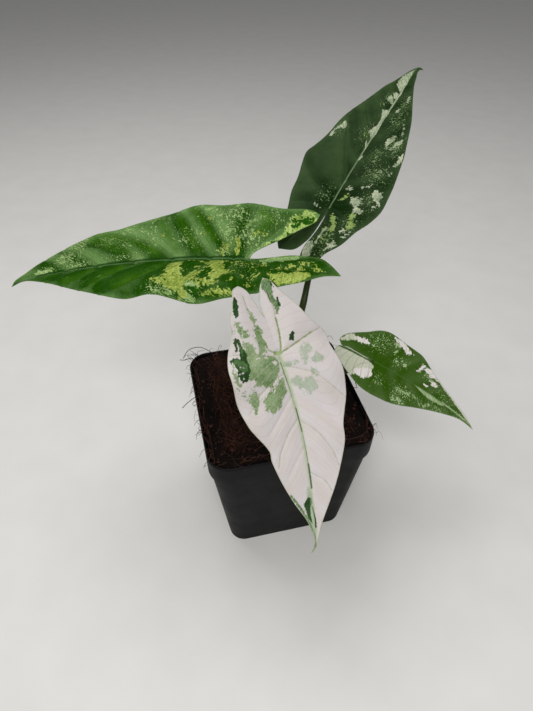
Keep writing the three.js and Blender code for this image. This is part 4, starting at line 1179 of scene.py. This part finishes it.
def build_stalk(name, material):
    """A fleshy stalk: a tube that tapers over its lower part, with a shallow channel along it and slight
    swellings, which are sines along it. Its grain is a place on a round rod of the stalk's length."""
    stations, sides = 120, 28
    path = stalk_path(LEAVES[name], stations)
    t = np.linspace(0, 1, stations)
    taper = np.minimum(1, t / STALK_TAPER_SHARE)
    radius = STALK_BASE_RADIUS + (STALK_TOP_RADIUS - STALK_BASE_RADIUS) * taper
    radius = radius * (1 + 0.02 * np.sin(37 * t) + 0.015 * np.sin(91 * t + 1))
    rings = tubes(path[None], radius[None], sides)[0]
    angle = np.arange(sides) / sides * TURN
    channel = 0.14 * np.exp(-(((angle - math.pi) / 0.5) ** 2))[None, :] * (1 - 0.6 * t)[:, None]
    rings = path[:, None] + (rings - path[:, None]) * (1 - channel)[..., None]
    points, faces = loft(rings[None])
    around = np.tile(angle, stations)
    height_share = np.repeat(t, sides)
    length = height_share * STALK_LENGTH
    grain = np.stack([np.cos(around) * 2.4, np.sin(around) * 2.4, length * 0.12], 1)
    attributes = {"stalk_grain": grain, "height_share": height_share}
    return add_piece("leaf_stalk_" + name, points, faces, material, "petiole_" + name,
                     attributes)


def stalk_finish():
    """Fleshy stalk skin, grown: smooth and faintly translucent with a soft gloss, olive green darkened as
    painted shade for the shadow the stalks stand in, with fine lengthwise streaks about 0.5 mm wide, and
    paler and browner at the base."""
    material, tree, shader = new_material("fleshy_stalk_skin")
    grain = add_node(tree, "ShaderNodeAttribute", out="Vector", attribute_name="stalk_grain")
    share = add_node(tree, "ShaderNodeAttribute", out="Fac", attribute_name="height_share")
    streaks = add_node(tree, "ShaderNodeTexNoise", {"Vector": grain, "Scale": 2.0, "Detail": 3.0})
    ramp = add_node(tree, "ShaderNodeMapRange", {"Value": streaks, "From Min": 0.35, "From Max": 0.65})
    # The olive greens are darker than the stalk's own colour: painted shade.
    colour = add_node(tree, "ShaderNodeMix", {0: ramp, 6: linear("#222c0c"), 7: linear("#343f17")},
                      out=2, data_type="RGBA")
    low = add_node(tree, "ShaderNodeMapRange", {
        "Value": share, "From Max": 0.3, "To Min": 0.7, "To Max": 0.0,
    })
    colour = add_node(tree, "ShaderNodeMix", {0: low, 6: colour, 7: linear("#453c24")},
                      out=2, data_type="RGBA")
    tree.links.new(colour, shader.inputs["Base Color"])
    bump = add_node(tree, "ShaderNodeBump", {"Height": streaks, "Distance": 0.12 * MM}, out="Normal")
    tree.links.new(bump, shader.inputs["Normal"])
    shader.inputs["Roughness"].default_value = 0.42
    shader.inputs["Specular IOR Level"].default_value = 0.2
    shader.inputs["Subsurface Weight"].default_value = 0.15
    shader.inputs["Subsurface Radius"].default_value = (0.8, 1.0, 0.4)
    shader.inputs["Subsurface Scale"].default_value = 1.0 * MM
    return material


def lattice_noise(x, y, cell, seed):
    """Smooth noise from -1 to 1: random values on a square lattice of that cell, eased between them."""
    grid = np.random.default_rng(seed).uniform(-1, 1, (64, 64))
    u, v = x / cell, y / cell
    i, j = np.floor(u).astype(int), np.floor(v).astype(int)
    s, t = u - i, v - j
    s, t = s * s * (3 - 2 * s), t * t * (3 - 2 * t)
    near = grid[i % 64, j % 64] * (1 - s) + grid[(i + 1) % 64, j % 64] * s
    far = grid[i % 64, (j + 1) % 64] * (1 - s) + grid[(i + 1) % 64, (j + 1) % 64] * s
    return near * (1 - t) + far * t


def rounded_square(width, radius, per_corner=CORNER_POINTS, per_side=8):
    """A square with rounded corners, counter-clockwise: arcs of a quarter turn round the four corner
    centres, joined by straight sides that are split evenly."""
    reach = width / 2 - radius
    turns = np.linspace(0, math.pi / 2, per_corner)
    corners = []
    for k in range(4):
        angle = k * math.pi / 2 + turns
        centre = reach * np.sign([math.cos(k * math.pi / 2 + 0.8), math.sin(k * math.pi / 2 + 0.8)])
        corners.append(centre + radius * np.stack([np.cos(angle), np.sin(angle)], 1))
    ring = []
    for k in range(4):
        ring.append(corners[k])
        start, end = corners[k][-1], corners[(k + 1) % 4][0]
        ring.append(start + (end - start) * (np.arange(1, per_side) / per_side)[:, None])
    return np.vstack(ring)


def wall_width(z):
    """The pot's outside width at a height, below the rim band."""
    return FOOT_WIDTH + (RIM_WIDTH - 2 * BAND_STEP - FOOT_WIDTH) * z / (POT_HEIGHT - RIM_BAND)


def build_pot(material):
    """A thin moulded pot: one profile of widths, corner radii and heights, from the middle of the
    underside, up the outside, over the lip, down the inside and back to the middle of the floor,
    carried round a rounded square. The walls bow a little, as thin mouldings do: by a sine up the wall
    times the square of the cosine of twice the angle."""
    band = POT_HEIGHT - RIM_BAND
    inner = RIM_WIDTH - 2 * WALL
    half = RIM_WIDTH / 2
    profile = [
        (2, 0.9, 0.6), (FOOT_WIDTH - 16, 6, 0.6), (FOOT_WIDTH - 14, 6.5, 0), (FOOT_WIDTH - 2.4, 8.4, 0),
        (FOOT_WIDTH - 1.2, 8.7, 0.3), (wall_width(0.9), 9, 0.9), (wall_width(2), 9.1, 2),
    ]
    for z in np.linspace(10, band - 2.5, 7):
        profile.append((wall_width(z), 9 + 2 * z / band, z))
    profile += [
        (wall_width(band - 0.9), 11, band - 0.9), (wall_width(band - 0.5) + 0.3, 11.1, band - 0.5),
        (RIM_WIDTH - 1.5, 11.7, band - 0.15), (RIM_WIDTH - 0.9, 11.9, band + 0.15),
        (RIM_WIDTH - 0.7, CORNER_RADIUS, band + 0.7), (RIM_WIDTH - 0.3, CORNER_RADIUS, band + 6),
        (RIM_WIDTH, CORNER_RADIUS, POT_HEIGHT - 1.8), (RIM_WIDTH, CORNER_RADIUS, POT_HEIGHT - 0.7),
        (RIM_WIDTH - 0.35, 11.9, POT_HEIGHT - 0.25), (RIM_WIDTH - 0.9, 11.6, POT_HEIGHT),
        (RIM_WIDTH - 1.5, 11.4, POT_HEIGHT), (inner + 0.3, 11, POT_HEIGHT - 0.25),
        (inner, 10.8, POT_HEIGHT - 0.7), (inner - 0.8, 10.8, band + 1),
        (wall_width(band - 1) - 2 * WALL, 9.8, band - 1), (wall_width(20) - 2 * WALL, 8.6, 20),
        (wall_width(3) - 2 * WALL, 7.8, 3),
        (wall_width(FLOOR) - 2 * WALL - 1.4, 7, FLOOR), (2, 0.9, FLOOR),
    ]
    rings = []
    for width, radius, z in profile:
        # Each ring starts at a corner's middle, so that no triangle of the end fans is flat.
        ring = np.roll(rounded_square(width, radius), -CORNER_POINTS // 2, 0)
        bow = WALL_BOW * math.sin(math.pi * min(z / band, 1)) * min(width / FOOT_WIDTH, 1) ** 8
        ring = ring * (1 + bow * np.cos(2 * np.arctan2(ring[:, 1], ring[:, 0]))[:, None] ** 2 / half)
        rings.append(np.column_stack([ring, np.full(len(ring), z)]))
    points, faces = loft(np.array(rings)[None])
    pot = add_piece("nursery_pot", points, faces, material, "pot")
    angle = (np.arange(DRAIN_POINTS) / DRAIN_POINTS * TURN)[:, None]
    cutters = []
    for x in (-DRAIN_OFFSET, DRAIN_OFFSET):
        for y in (-DRAIN_OFFSET, DRAIN_OFFSET):
            circle = np.hstack([x + DRAIN_RADIUS * np.cos(angle), y + DRAIN_RADIUS * np.sin(angle)])
            cutters.append([
                np.column_stack([circle, np.full(DRAIN_POINTS, z)]) for z in (-2, FLOOR + 2)
            ])
    cut_points, cut_faces = loft(np.array(cutters))
    cutter_mesh = bpy.data.meshes.new("drain_cutters")
    cutter_mesh.from_pydata((cut_points * MM).tolist(), [], cut_faces.tolist())
    cutter = bpy.data.objects.new("drain_cutters", cutter_mesh)
    bpy.context.scene.collection.objects.link(cutter)
    drill = pot.modifiers.new("drain_holes", "BOOLEAN")
    drill.object = cutter
    drill.operation = "DIFFERENCE"
    drill.solver = "EXACT"
    evaluated = pot.evaluated_get(bpy.context.evaluated_depsgraph_get())
    drilled = bpy.data.meshes.new_from_object(evaluated)
    pot.modifiers.clear()
    pot.data = drilled
    drilled.polygons.foreach_set("use_smooth", np.ones(len(drilled.polygons), bool))
    drilled.set_sharp_from_angle(angle=math.radians(MOULD_EDGE_ANGLE))
    bpy.data.objects.remove(cutter)
    return pot


def pot_finish():
    """Black polypropylene, injection moulded: nearly matt with a faint grain about 0.25 mm across, and
    a film of dried water and coir dust with small specks, thicker near the foot. The real grain is finer
    and is drawn this coarse so that it breaks up the gloss."""
    material, tree, shader = new_material("moulded_black_polypropylene")
    place = add_node(tree, "ShaderNodeTexCoord", out="Object")
    grain = add_node(tree, "ShaderNodeTexNoise", {"Vector": place, "Scale": 1 / (0.5 * MM), "Detail": 2.0})
    dust = add_node(tree, "ShaderNodeTexNoise", {"Vector": place, "Scale": 1 / (14 * MM), "Detail": 6.0,
                                                 "Roughness": 0.65})
    specks = add_node(tree, "ShaderNodeTexNoise", {"Vector": place, "Scale": 1 / (1.6 * MM), "Detail": 3.0})
    level = add_node(tree, "ShaderNodeSeparateXYZ", {0: place}, out="Z")
    low = add_node(tree, "ShaderNodeMapRange", {
        "Value": level, "From Max": 30 * MM, "To Min": 0.14, "To Max": 0.0,
    })
    dust = add_node(tree, "ShaderNodeMath", {0: dust, 1: low}, operation="ADD")
    film = add_node(tree, "ShaderNodeMapRange", {
        "Value": dust, "From Min": 0.42, "From Max": 0.8, "To Max": 0.55,
    })
    dots = add_node(tree, "ShaderNodeMapRange", {
        "Value": specks, "From Min": 0.68, "From Max": 0.74, "To Max": 0.5,
    })
    veil = add_node(tree, "ShaderNodeMath", {0: film, 1: dots}, operation="MAXIMUM")
    colour = add_node(tree, "ShaderNodeMix", {0: veil, 6: linear("#060607"), 7: linear("#131211")},
                      out=2, data_type="RGBA")
    tree.links.new(colour, shader.inputs["Base Color"])
    rough = add_node(tree, "ShaderNodeMapRange", {"Value": veil, "To Min": 0.5, "To Max": 0.85})
    tree.links.new(rough, shader.inputs["Roughness"])
    bump = add_node(tree, "ShaderNodeBump", {"Height": grain, "Distance": 0.03 * MM}, out="Normal")
    tree.links.new(bump, shader.inputs["Normal"])
    shader.inputs["IOR"].default_value = 1.49
    shader.inputs["Specular IOR Level"].default_value = 0.15
    return material


def soil_height(x, y):
    """The coir's upper surface as in the part: a low mound, a rise to the back left corner, lumps."""
    half = RIM_WIDTH / 2
    mound = SOIL_MOUND * (1 - (x**2 + y**2) / (2 * half**2))
    corner = SOIL_CORNER_RISE * np.maximum(0, (y - x) / (2 * half))
    lumps = 0.6 * np.sin(x / 4.1 + 1.3) * np.cos(y / 3.7) + 0.4 * np.sin((x + 2 * y) / 5.3)
    return SOIL_LEVEL + mound + corner + lumps


def rough_soil(x, y):
    """The same surface with clods and crumbs: lattice noise of three sizes."""
    rough = 1.1 * lattice_noise(x, y, 5.5, 3) + 0.7 * lattice_noise(x, y, 2.4, 5)
    return soil_height(x, y) + rough + 0.4 * lattice_noise(x, y, 1.1, 8) - 0.6


def build_coir(material):
    """The coir block: a stack of rings from under its middle, out and up inside the pot, over the rough
    surface to the crown, and down round the crown's socket. The rings turn from rounded squares to
    circles on the way in."""
    band = POT_HEIGHT - RIM_BAND
    inset = 2 * WALL + 2 * GAP
    edge = RIM_WIDTH - inset - 1
    base = FLOOR + GAP
    foot = wall_width(FLOOR) - inset
    levels = [(4, 1.8, base), (foot * 0.6, 6, base), (foot - 0.8, 7, base)]
    levels += [(wall_width(z) - inset - 0.4, 8.5, z) for z in np.linspace(4, band - 1.5, 6)]
    levels += [(edge - 0.6, 10.5, band + 1.5), (edge, 10.5, POT_HEIGHT - 6), (edge, 10.5, POT_HEIGHT - 2.6)]
    rings = []
    for width, radius, z in levels:
        ring = rounded_square(width, radius, 30, 42)
        rings.append(np.column_stack([ring, np.full(len(ring), z)]))
    outline = rounded_square(edge, 10.5, 30, 42)
    circle = unit(outline) * (CROWN_RADIUS + GAP)
    for share in np.linspace(0.985, 0, 74):
        ring = circle + (outline - circle) * share
        sink = 2.0 * np.clip((share - 0.93) / 0.055, 0, 1) ** 2
        rings.append(np.column_stack([ring, rough_soil(*ring.T) - sink]))
    for z in (CROWN_TOP - 10, CROWN_BOTTOM + 4, CROWN_BOTTOM - GAP):
        rings.append(np.column_stack([circle, np.full(len(circle), z)]))
    points, faces = loft(np.array(rings)[None])
    return add_piece("coir_fill", points, faces, material, "substrate")


def wander(random, starts, headings, lengths, curl, stations):
    """Flat wandering lines: each step goes on from the last, and its heading drifts by a random bend
    that lasts the whole line and a smaller one for each step."""
    count = len(starts)
    bend = random.normal(0, curl, (count, 1)) * np.linspace(0, 1, stations - 1)
    jitter = np.cumsum(random.normal(0, curl * 0.28, (count, stations - 1)), 1)
    angle = headings[:, None] + bend + jitter
    step = (lengths / (stations - 1))[:, None]
    x = starts[:, :1] + np.cumsum(np.hstack([np.zeros((count, 1)), step * np.cos(angle)]), 1)
    y = starts[:, 1:] + np.cumsum(np.hstack([np.zeros((count, 1)), step * np.sin(angle)]), 1)
    return x, y


def build_fibres(name, seed, count, lengths, thickness, lift, tones, material):
    """Coir fibres that lie on the mound: flat wandering lines, raised from the surface as half a sine
    and dipping back into it at both ends, as three-sided tubes that thin out at their ends."""
    random = np.random.default_rng(seed)
    stations, sides = 8, 3
    reach = RIM_WIDTH / 2 - FIBRE_INSET
    starts = random.uniform(-reach, reach, (count, 2))
    headings = random.uniform(0, TURN, count)
    x, y = wander(random, starts, headings, random.uniform(*lengths, count), FIBRE_CURL, stations)
    x, y = reach * np.tanh(x / reach * 1.05), reach * np.tanh(y / reach * 1.05)
    away = np.hypot(x, y)
    push = np.maximum(away, CROWN_RADIUS + 0.8) / np.maximum(away, 0.1)
    x, y = x * push, y * push
    t = np.linspace(0, 1, stations)
    rise = random.uniform(*lift, (count, 1)) * np.sin(math.pi * t) ** 0.7
    z = rough_soil(x, y) + rise - 0.7 + 1.0 * (np.abs(t - 0.5) < 0.4)
    z = z + random.normal(0, 0.3, z.shape)
    radius = random.uniform(*thickness, (count, 1)) * (1 - 0.55 * np.abs(2 * t - 1) ** 3)
    points, faces = loft(tubes(np.stack([x, y, z], -1), radius, sides))
    tone = np.repeat(random.uniform(*tones, count), stations * sides)
    return add_piece(name, points, faces, material, None, {"fibre_tone": tone})


def hand_laid_fibres():
    """Fibres that the photograph shows on their own: each path runs from its root to its free end."""
    return [
        [(-36, -38, 87), (-24, -41.5, 89.5), (-12, -42, 90), (2, -39, 89)],
        [(-38, -33, 87), (-33, -39, 90.5), (-31, -44.5, 90), (-26, -46.8, 88.6)],
        [(-40, 2, 87), (-44, 4, 91.5), (-49, 1, 92), (-53, -1, 90)],
        [(-41, -20, 87), (-44, -12, 91), (-43, 2, 92), (-40, 12, 89)],
        [(-38, 30, 89), (-43, 34, 93.5), (-47.5, 33, 94), (-50, 36, 92)],
        [(-30, 40, 90), (-37, 43, 93.5), (-44, 42, 93.5), (-48, 38, 91)],
        [(20, -38, 87), (30, -42, 90), (38, -40, 90.5), (42, -30, 88)],
        [(-20, -30, 89), (-27, -33, 92), (-33, -30, 92.5), (-38, -24, 89)],
        [(38, 14, 87), (43, 9, 90.5), (46.5, 4, 89.5), (47, -3, 86)],
    ]


def build_loose_fibres(material):
    """The listed fibres, and a tangle of fine ones that start near the rim: flat wandering lines that set
    out more or less outwards, rise as half a sine, and sink with their reach past the rim."""
    random = np.random.default_rng(41)
    stations, sides, count = 12, 5, 170
    share = np.linspace(0, 1, stations)
    laid = np.array([at_share(smooth_line(path, 0.5), share) for path in hand_laid_fibres()])
    half = RIM_WIDTH / 2
    side = random.choice(4, count, p=[0.5, 0.24, 0.1, 0.16])
    start = np.stack([half - random.uniform(1.5, 9, count), random.uniform(-40, 40, count)], 1)
    headings = random.normal(0, 1.0, count)
    out, along = wander(random, start, headings, random.uniform(4, 12, count), TANGLE_CURL, stations)
    out = half + TANGLE_OVERHANG * np.tanh((out - half) / TANGLE_OVERHANG)
    lift = random.uniform(0.6, 4.2, (count, 1)) * np.sin(math.pi * share * 0.75)
    past = np.clip(out - half - 0.4, 0, None)
    z = POT_HEIGHT + 0.3 + lift - random.uniform(0.3, 1.6, (count, 1)) * past**1.25
    turn = side[:, None] * math.pi / 2 + math.pi
    x = out * np.cos(turn) - along * np.sin(turn)
    y = out * np.sin(turn) + along * np.cos(turn)
    inside = np.maximum(np.abs(x), np.abs(y)) < half + 0.4
    z = np.where(inside, np.maximum(z, POT_HEIGHT + 0.25), z)
    paths = np.concatenate([laid, np.stack([x, y, z], -1)])
    radii = random.uniform(0.08, 0.17, (len(paths), 1)) * (1 - 0.5 * share**3)
    radii[: len(laid)] = 0.2
    points, faces = loft(tubes(paths, radii, sides))
    tone = np.repeat(random.uniform(0.1, 0.8, len(paths)), stations * sides)
    return add_piece("coir_loose_fibres", points, faces, material, None,
                     {"fibre_tone": tone})


def build_crumbs(material):
    """Crumbs of husk pith on the coir: short closed lumps of five-sided rings with uneven radii."""
    random = np.random.default_rng(23)
    count = 900
    reach = RIM_WIDTH / 2 - CRUMB_INSET
    place = random.uniform(-reach, reach, (count, 2))
    away = np.hypot(*place.T)
    place = place * (np.maximum(away, CROWN_RADIUS + 1.2) / np.maximum(away, 0.1))[:, None]
    size = random.uniform(0.25, 1.05, count) ** 1.4 + 0.15
    lean = unit(random.normal(0, 1, (count, 3)))
    centre = np.column_stack([place, rough_soil(*place.T) + 0.15 * size])
    steps = np.array([-0.8, -0.35, 0.3, 0.8])
    paths = centre[:, None] + lean[:, None] * (steps[None, :] * size[:, None])[..., None]
    radii = size[:, None] * np.array([0.35, 0.85, 0.8, 0.3]) * random.uniform(0.7, 1.15, (count, 4))
    sides = 5
    rings = tubes(paths, radii, sides)
    rings = rings + random.normal(0, 0.09, rings.shape) * size[:, None, None, None]
    points, faces = loft(rings)
    tone = np.repeat(random.uniform(0, 0.5, count), len(steps) * sides)
    return add_piece("coir_crumbs", points, faces, material, None, {"fibre_tone": tone})


def coir_finish():
    """Damp coir pith, ground husk: matt, dark red-brown, darkened further as painted shade, with crumbs
    about
    0.8 mm across that show lighter on their tops."""
    material, tree, shader = new_material("damp_coir_pith")
    place = add_node(tree, "ShaderNodeTexCoord", out="Object")
    crumbs = add_node(tree, "ShaderNodeTexNoise", {"Vector": place, "Scale": 1 / (1.3 * MM), "Detail": 5.0,
                                                   "Roughness": 0.7})
    clods = add_node(tree, "ShaderNodeTexNoise", {"Vector": place, "Scale": 1 / (7 * MM), "Detail": 3.0})
    tone = add_node(tree, "ShaderNodeMapRange", {"Value": crumbs, "From Min": 0.35, "From Max": 0.7})
    # Both browns are darker than the pith's own colour: painted shade for the dim light on the coir.
    colour = add_node(tree, "ShaderNodeMix", {0: tone, 6: linear("#060302"), 7: linear("#150a06")},
                      out=2, data_type="RGBA")
    damp = add_node(tree, "ShaderNodeMapRange", {
        "Value": clods, "From Min": 0.4, "From Max": 0.6, "To Max": 0.5,
    })
    colour = add_node(tree, "ShaderNodeMix", {0: damp, 6: colour, 7: linear("#050302")},
                      out=2, data_type="RGBA")
    tree.links.new(colour, shader.inputs["Base Color"])
    bump = add_node(tree, "ShaderNodeBump", {"Height": crumbs, "Distance": 0.5 * MM}, out="Normal")
    tree.links.new(bump, shader.inputs["Normal"])
    shader.inputs["Roughness"].default_value = 0.92
    shader.inputs["Specular IOR Level"].default_value = 0.12
    return material


def fibre_finish():
    """Coconut husk fibre, retted and dried: stiff, dull, from dark red-brown to pale tan, each fibre of
    one tone with small changes along it."""
    material, tree, shader = new_material("coconut_husk_fibre")
    place = add_node(tree, "ShaderNodeTexCoord", out="Object")
    tone = add_node(tree, "ShaderNodeAttribute", out="Fac", attribute_name="fibre_tone")
    stain = add_node(tree, "ShaderNodeTexNoise", {"Vector": place, "Scale": 1 / (3 * MM), "Detail": 2.0})
    tone = add_node(tree, "ShaderNodeMath", {0: stain, 1: 0.35, 2: tone}, operation="MULTIPLY_ADD")
    ramp = add_node(tree, "ShaderNodeMapRange", {"Value": tone, "From Min": 0.2, "From Max": 1.15})
    colour = add_node(tree, "ShaderNodeMix", {0: ramp, 6: linear("#0f0604"), 7: linear("#4f2c1b")},
                      out=2, data_type="RGBA")
    tree.links.new(colour, shader.inputs["Base Color"])
    shader.inputs["Roughness"].default_value = 0.7
    shader.inputs["Specular IOR Level"].default_value = 0.2
    return material


def build_crown(material):
    """The stem base: rings whose radius follows the part's profile, swollen towards the four stalks and
    ridged by old leaf scars."""
    heights = [CROWN_BOTTOM, 68, 76, 80, 84.5, 87.5, 89.5, CROWN_TOP - 0.5]
    radii = [5, 8, 9.4, 9.5, 9.3, 8.6, 7.6, 6.2]
    levels, sides = 64, 96
    z = np.linspace(heights[0], heights[-1], levels)[:, None]
    radius = np.interp(z, heights, radii)
    angle = (np.arange(sides) / sides * TURN)[None, :]
    swell = 1 + 0.03 * np.cos(4 * angle + 0.5) + 0.012 * np.sin(9 * angle + z * 0.3)
    scars = 1 - 0.02 * (np.sin(z * 1.9) > 0.8)
    spread = radius * swell * scars
    rings = np.stack([spread * np.cos(angle), spread * np.sin(angle), np.repeat(z, sides, 1)], -1)
    points, faces = loft(rings[None])
    return add_piece("stem_base", points, faces, material, "crown")


def build_sheaths(material):
    """Dry sheaths round the stalk bases: crescent rings, whose outer arc and inner arc part by the
    sheath's thickness, follow each stalk up, while their opening widens to a torn point."""
    levels, across = 26, 24
    share = np.linspace(0, 1, levels)
    stacks = []
    for number, (leaf, top) in enumerate(zip(LEAVES.values(), SHEATH_TOPS)):
        path = at_share(smooth_line(leaf["stalk"], 0.5), np.linspace(0, 0.36, 60))
        z = np.minimum(np.linspace(SHEATH_BOTTOM, top, levels), path[-1, 2] - 0.5)
        centre = np.stack([np.interp(z, path[:, 2], path[:, k]) for k in (0, 1)], 1)
        facing = math.atan2(leaf["stalk"][1][1], leaf["stalk"][1][0])
        spread = (2.1 * (1 - share**1.6) + 0.05)[:, None]
        angle = facing + spread * np.linspace(-1, 1, across)[None, :]
        ripple = 1 + 0.05 * np.sin(5 * angle + number) * share[:, None]
        inner = (STALK_BASE_RADIUS + 0.1 + 0.7 * share**2)[:, None] * ripple
        outer = inner + (0.45 - 0.25 * share)[:, None]
        arcs = []
        for radius, turn in ((outer, angle), (inner, angle[:, ::-1])):
            x = centre[:, :1] + radius * np.cos(turn)
            y = centre[:, 1:] + radius * np.sin(turn)
            torn = 0.6 * np.sin(7 * turn) * share[:, None]
            arcs.append(np.stack([x, y, np.repeat(z[:, None], across, 1) + torn], -1))
        stacks.append(np.concatenate(arcs, 1))
    points, faces = loft(np.array(stacks))
    return add_piece("dry_sheaths", points, faces, material, None, sharp_angle=50)


def crown_finish():
    """Stem base with dried leaf sheaths, grown and withered: dull papery brown with lengthwise fibres
    about 0.4 mm apart, greener where the living stem shows."""
    material, tree, shader = new_material("withered_sheath")
    place = add_node(tree, "ShaderNodeTexCoord", out="Object")
    drawn = add_node(tree, "ShaderNodeMapping", {"Vector": place, "Scale": (1.0, 1.0, 0.12)})
    fibres = add_node(tree, "ShaderNodeTexNoise", {"Vector": drawn, "Scale": 1 / (0.8 * MM), "Detail": 4.0})
    blotch = add_node(tree, "ShaderNodeTexNoise", {"Vector": place, "Scale": 1 / (4 * MM), "Detail": 3.0})
    tone = add_node(tree, "ShaderNodeMapRange", {"Value": fibres, "From Min": 0.35, "From Max": 0.65})
    colour = add_node(tree, "ShaderNodeMix", {0: tone, 6: linear("#4a3420"), 7: linear("#8f7248")},
                      out=2, data_type="RGBA")
    green = add_node(tree, "ShaderNodeMapRange", {
        "Value": blotch, "From Min": 0.5, "From Max": 0.65, "To Max": 0.6,
    })
    colour = add_node(tree, "ShaderNodeMix", {0: green, 6: colour, 7: linear("#6a6c38")},
                      out=2, data_type="RGBA")
    tree.links.new(colour, shader.inputs["Base Color"])
    bump = add_node(tree, "ShaderNodeBump", {"Height": fibres, "Distance": 0.3 * MM}, out="Normal")
    tree.links.new(bump, shader.inputs["Normal"])
    shader.inputs["Roughness"].default_value = 0.8
    return material


def build_floor():
    """A plain pale floor: one flat square, matt painted board with a barely visible grain."""
    material, tree, shader = new_material("matt_painted_board")
    place = add_node(tree, "ShaderNodeTexCoord", out="Object")
    grain = add_node(tree, "ShaderNodeTexNoise", {"Vector": place, "Scale": 1 / (30 * MM), "Detail": 4.0})
    tone = add_node(tree, "ShaderNodeMapRange", {"Value": grain, "From Min": 0.3, "From Max": 0.7})
    colour = add_node(tree, "ShaderNodeMix", {0: tone, 6: linear("#d3d1cd"), 7: linear("#cfcdc9")},
                      out=2, data_type="RGBA")
    tree.links.new(colour, shader.inputs["Base Color"])
    shader.inputs["Roughness"].default_value = 0.9
    mesh = bpy.data.meshes.new("floor")
    corners = [(-6, -6, 0), (6, -6, 0), (6, 6, 0), (-6, 6, 0)]
    mesh.from_pydata(corners, [], [(0, 1, 2, 3)])
    mesh.materials.append(material)
    floor = bpy.data.objects.new("floor", mesh)
    bpy.context.scene.collection.objects.link(floor)


def soft_light(name, place, target, size, power, colour="#ffffff"):
    """A square area light that faces its target."""
    lamp = bpy.data.lights.new(name, "AREA")
    lamp.size = size
    lamp.energy = power
    lamp.color = linear(colour)[:3]
    light = bpy.data.objects.new(name, lamp)
    light.location = place
    light.rotation_euler = (Vector(target) - Vector(place)).to_track_quat("-Z", "Y").to_euler()
    bpy.context.scene.collection.objects.link(light)


def add_lights():
    """A soft key light over the camera, a smaller one overhead and a little behind, and a dim sky."""
    soft_light("key", (-0.25, -0.75, 0.95), (0, -0.02, 0.12), 0.55, 9.8)
    soft_light("overhead", (-0.15, 0.25, 0.95), (0, 0, 0.14), 0.5, 4.5)
    world = bpy.data.worlds.new("studio")
    world.use_nodes = True
    world.node_tree.nodes["Background"].inputs["Color"].default_value = linear("#f2f4f6")
    world.node_tree.nodes["Background"].inputs["Strength"].default_value = 0.25
    bpy.context.scene.world = world
    bpy.context.scene.view_settings.view_transform = "Standard"


def add_camera():
    """The photograph's point of view: 41.9 degrees down, 13.1 degrees round to the left."""
    data = bpy.data.cameras.new("camera")
    data.lens = 26.99
    data.sensor_width = 36
    data.clip_start = 0.01
    camera = bpy.data.objects.new("camera", data)
    camera.location = (-0.053, -0.203, 0.305)
    camera.rotation_euler = (math.radians(48.1), 0, math.radians(-13.1))
    bpy.context.scene.collection.objects.link(camera)
    bpy.context.scene.camera = camera


add_camera()
add_lights()
build_floor()
stalk_skin = stalk_finish()
for leaf_name in LEAVES:
    leaf_skin = leaf_finish(leaf_name, FINISHES[leaf_name])
    build_blade(leaf_name, leaf_skin)
    build_stalk(leaf_name, stalk_skin)
withered = crown_finish()
build_crown(withered)
build_sheaths(withered)
build_pot(pot_finish())
build_coir(coir_finish())
husk = fibre_finish()
build_fibres("coir_fibres_dark", 11, 1700, (6, 17), (0.1, 0.2), (0.2, 2.2), (0.0, 0.35), husk)
build_fibres("coir_fibres_russet", 12, 1300, (7, 20), (0.1, 0.19), (0.4, 3.2), (0.2, 0.65), husk)
build_fibres("coir_fibres_pale", 13, 170, (9, 26), (0.12, 0.24), (0.8, 4.2), (0.6, 1.0), husk)
build_loose_fibres(husk)
build_crumbs(husk)
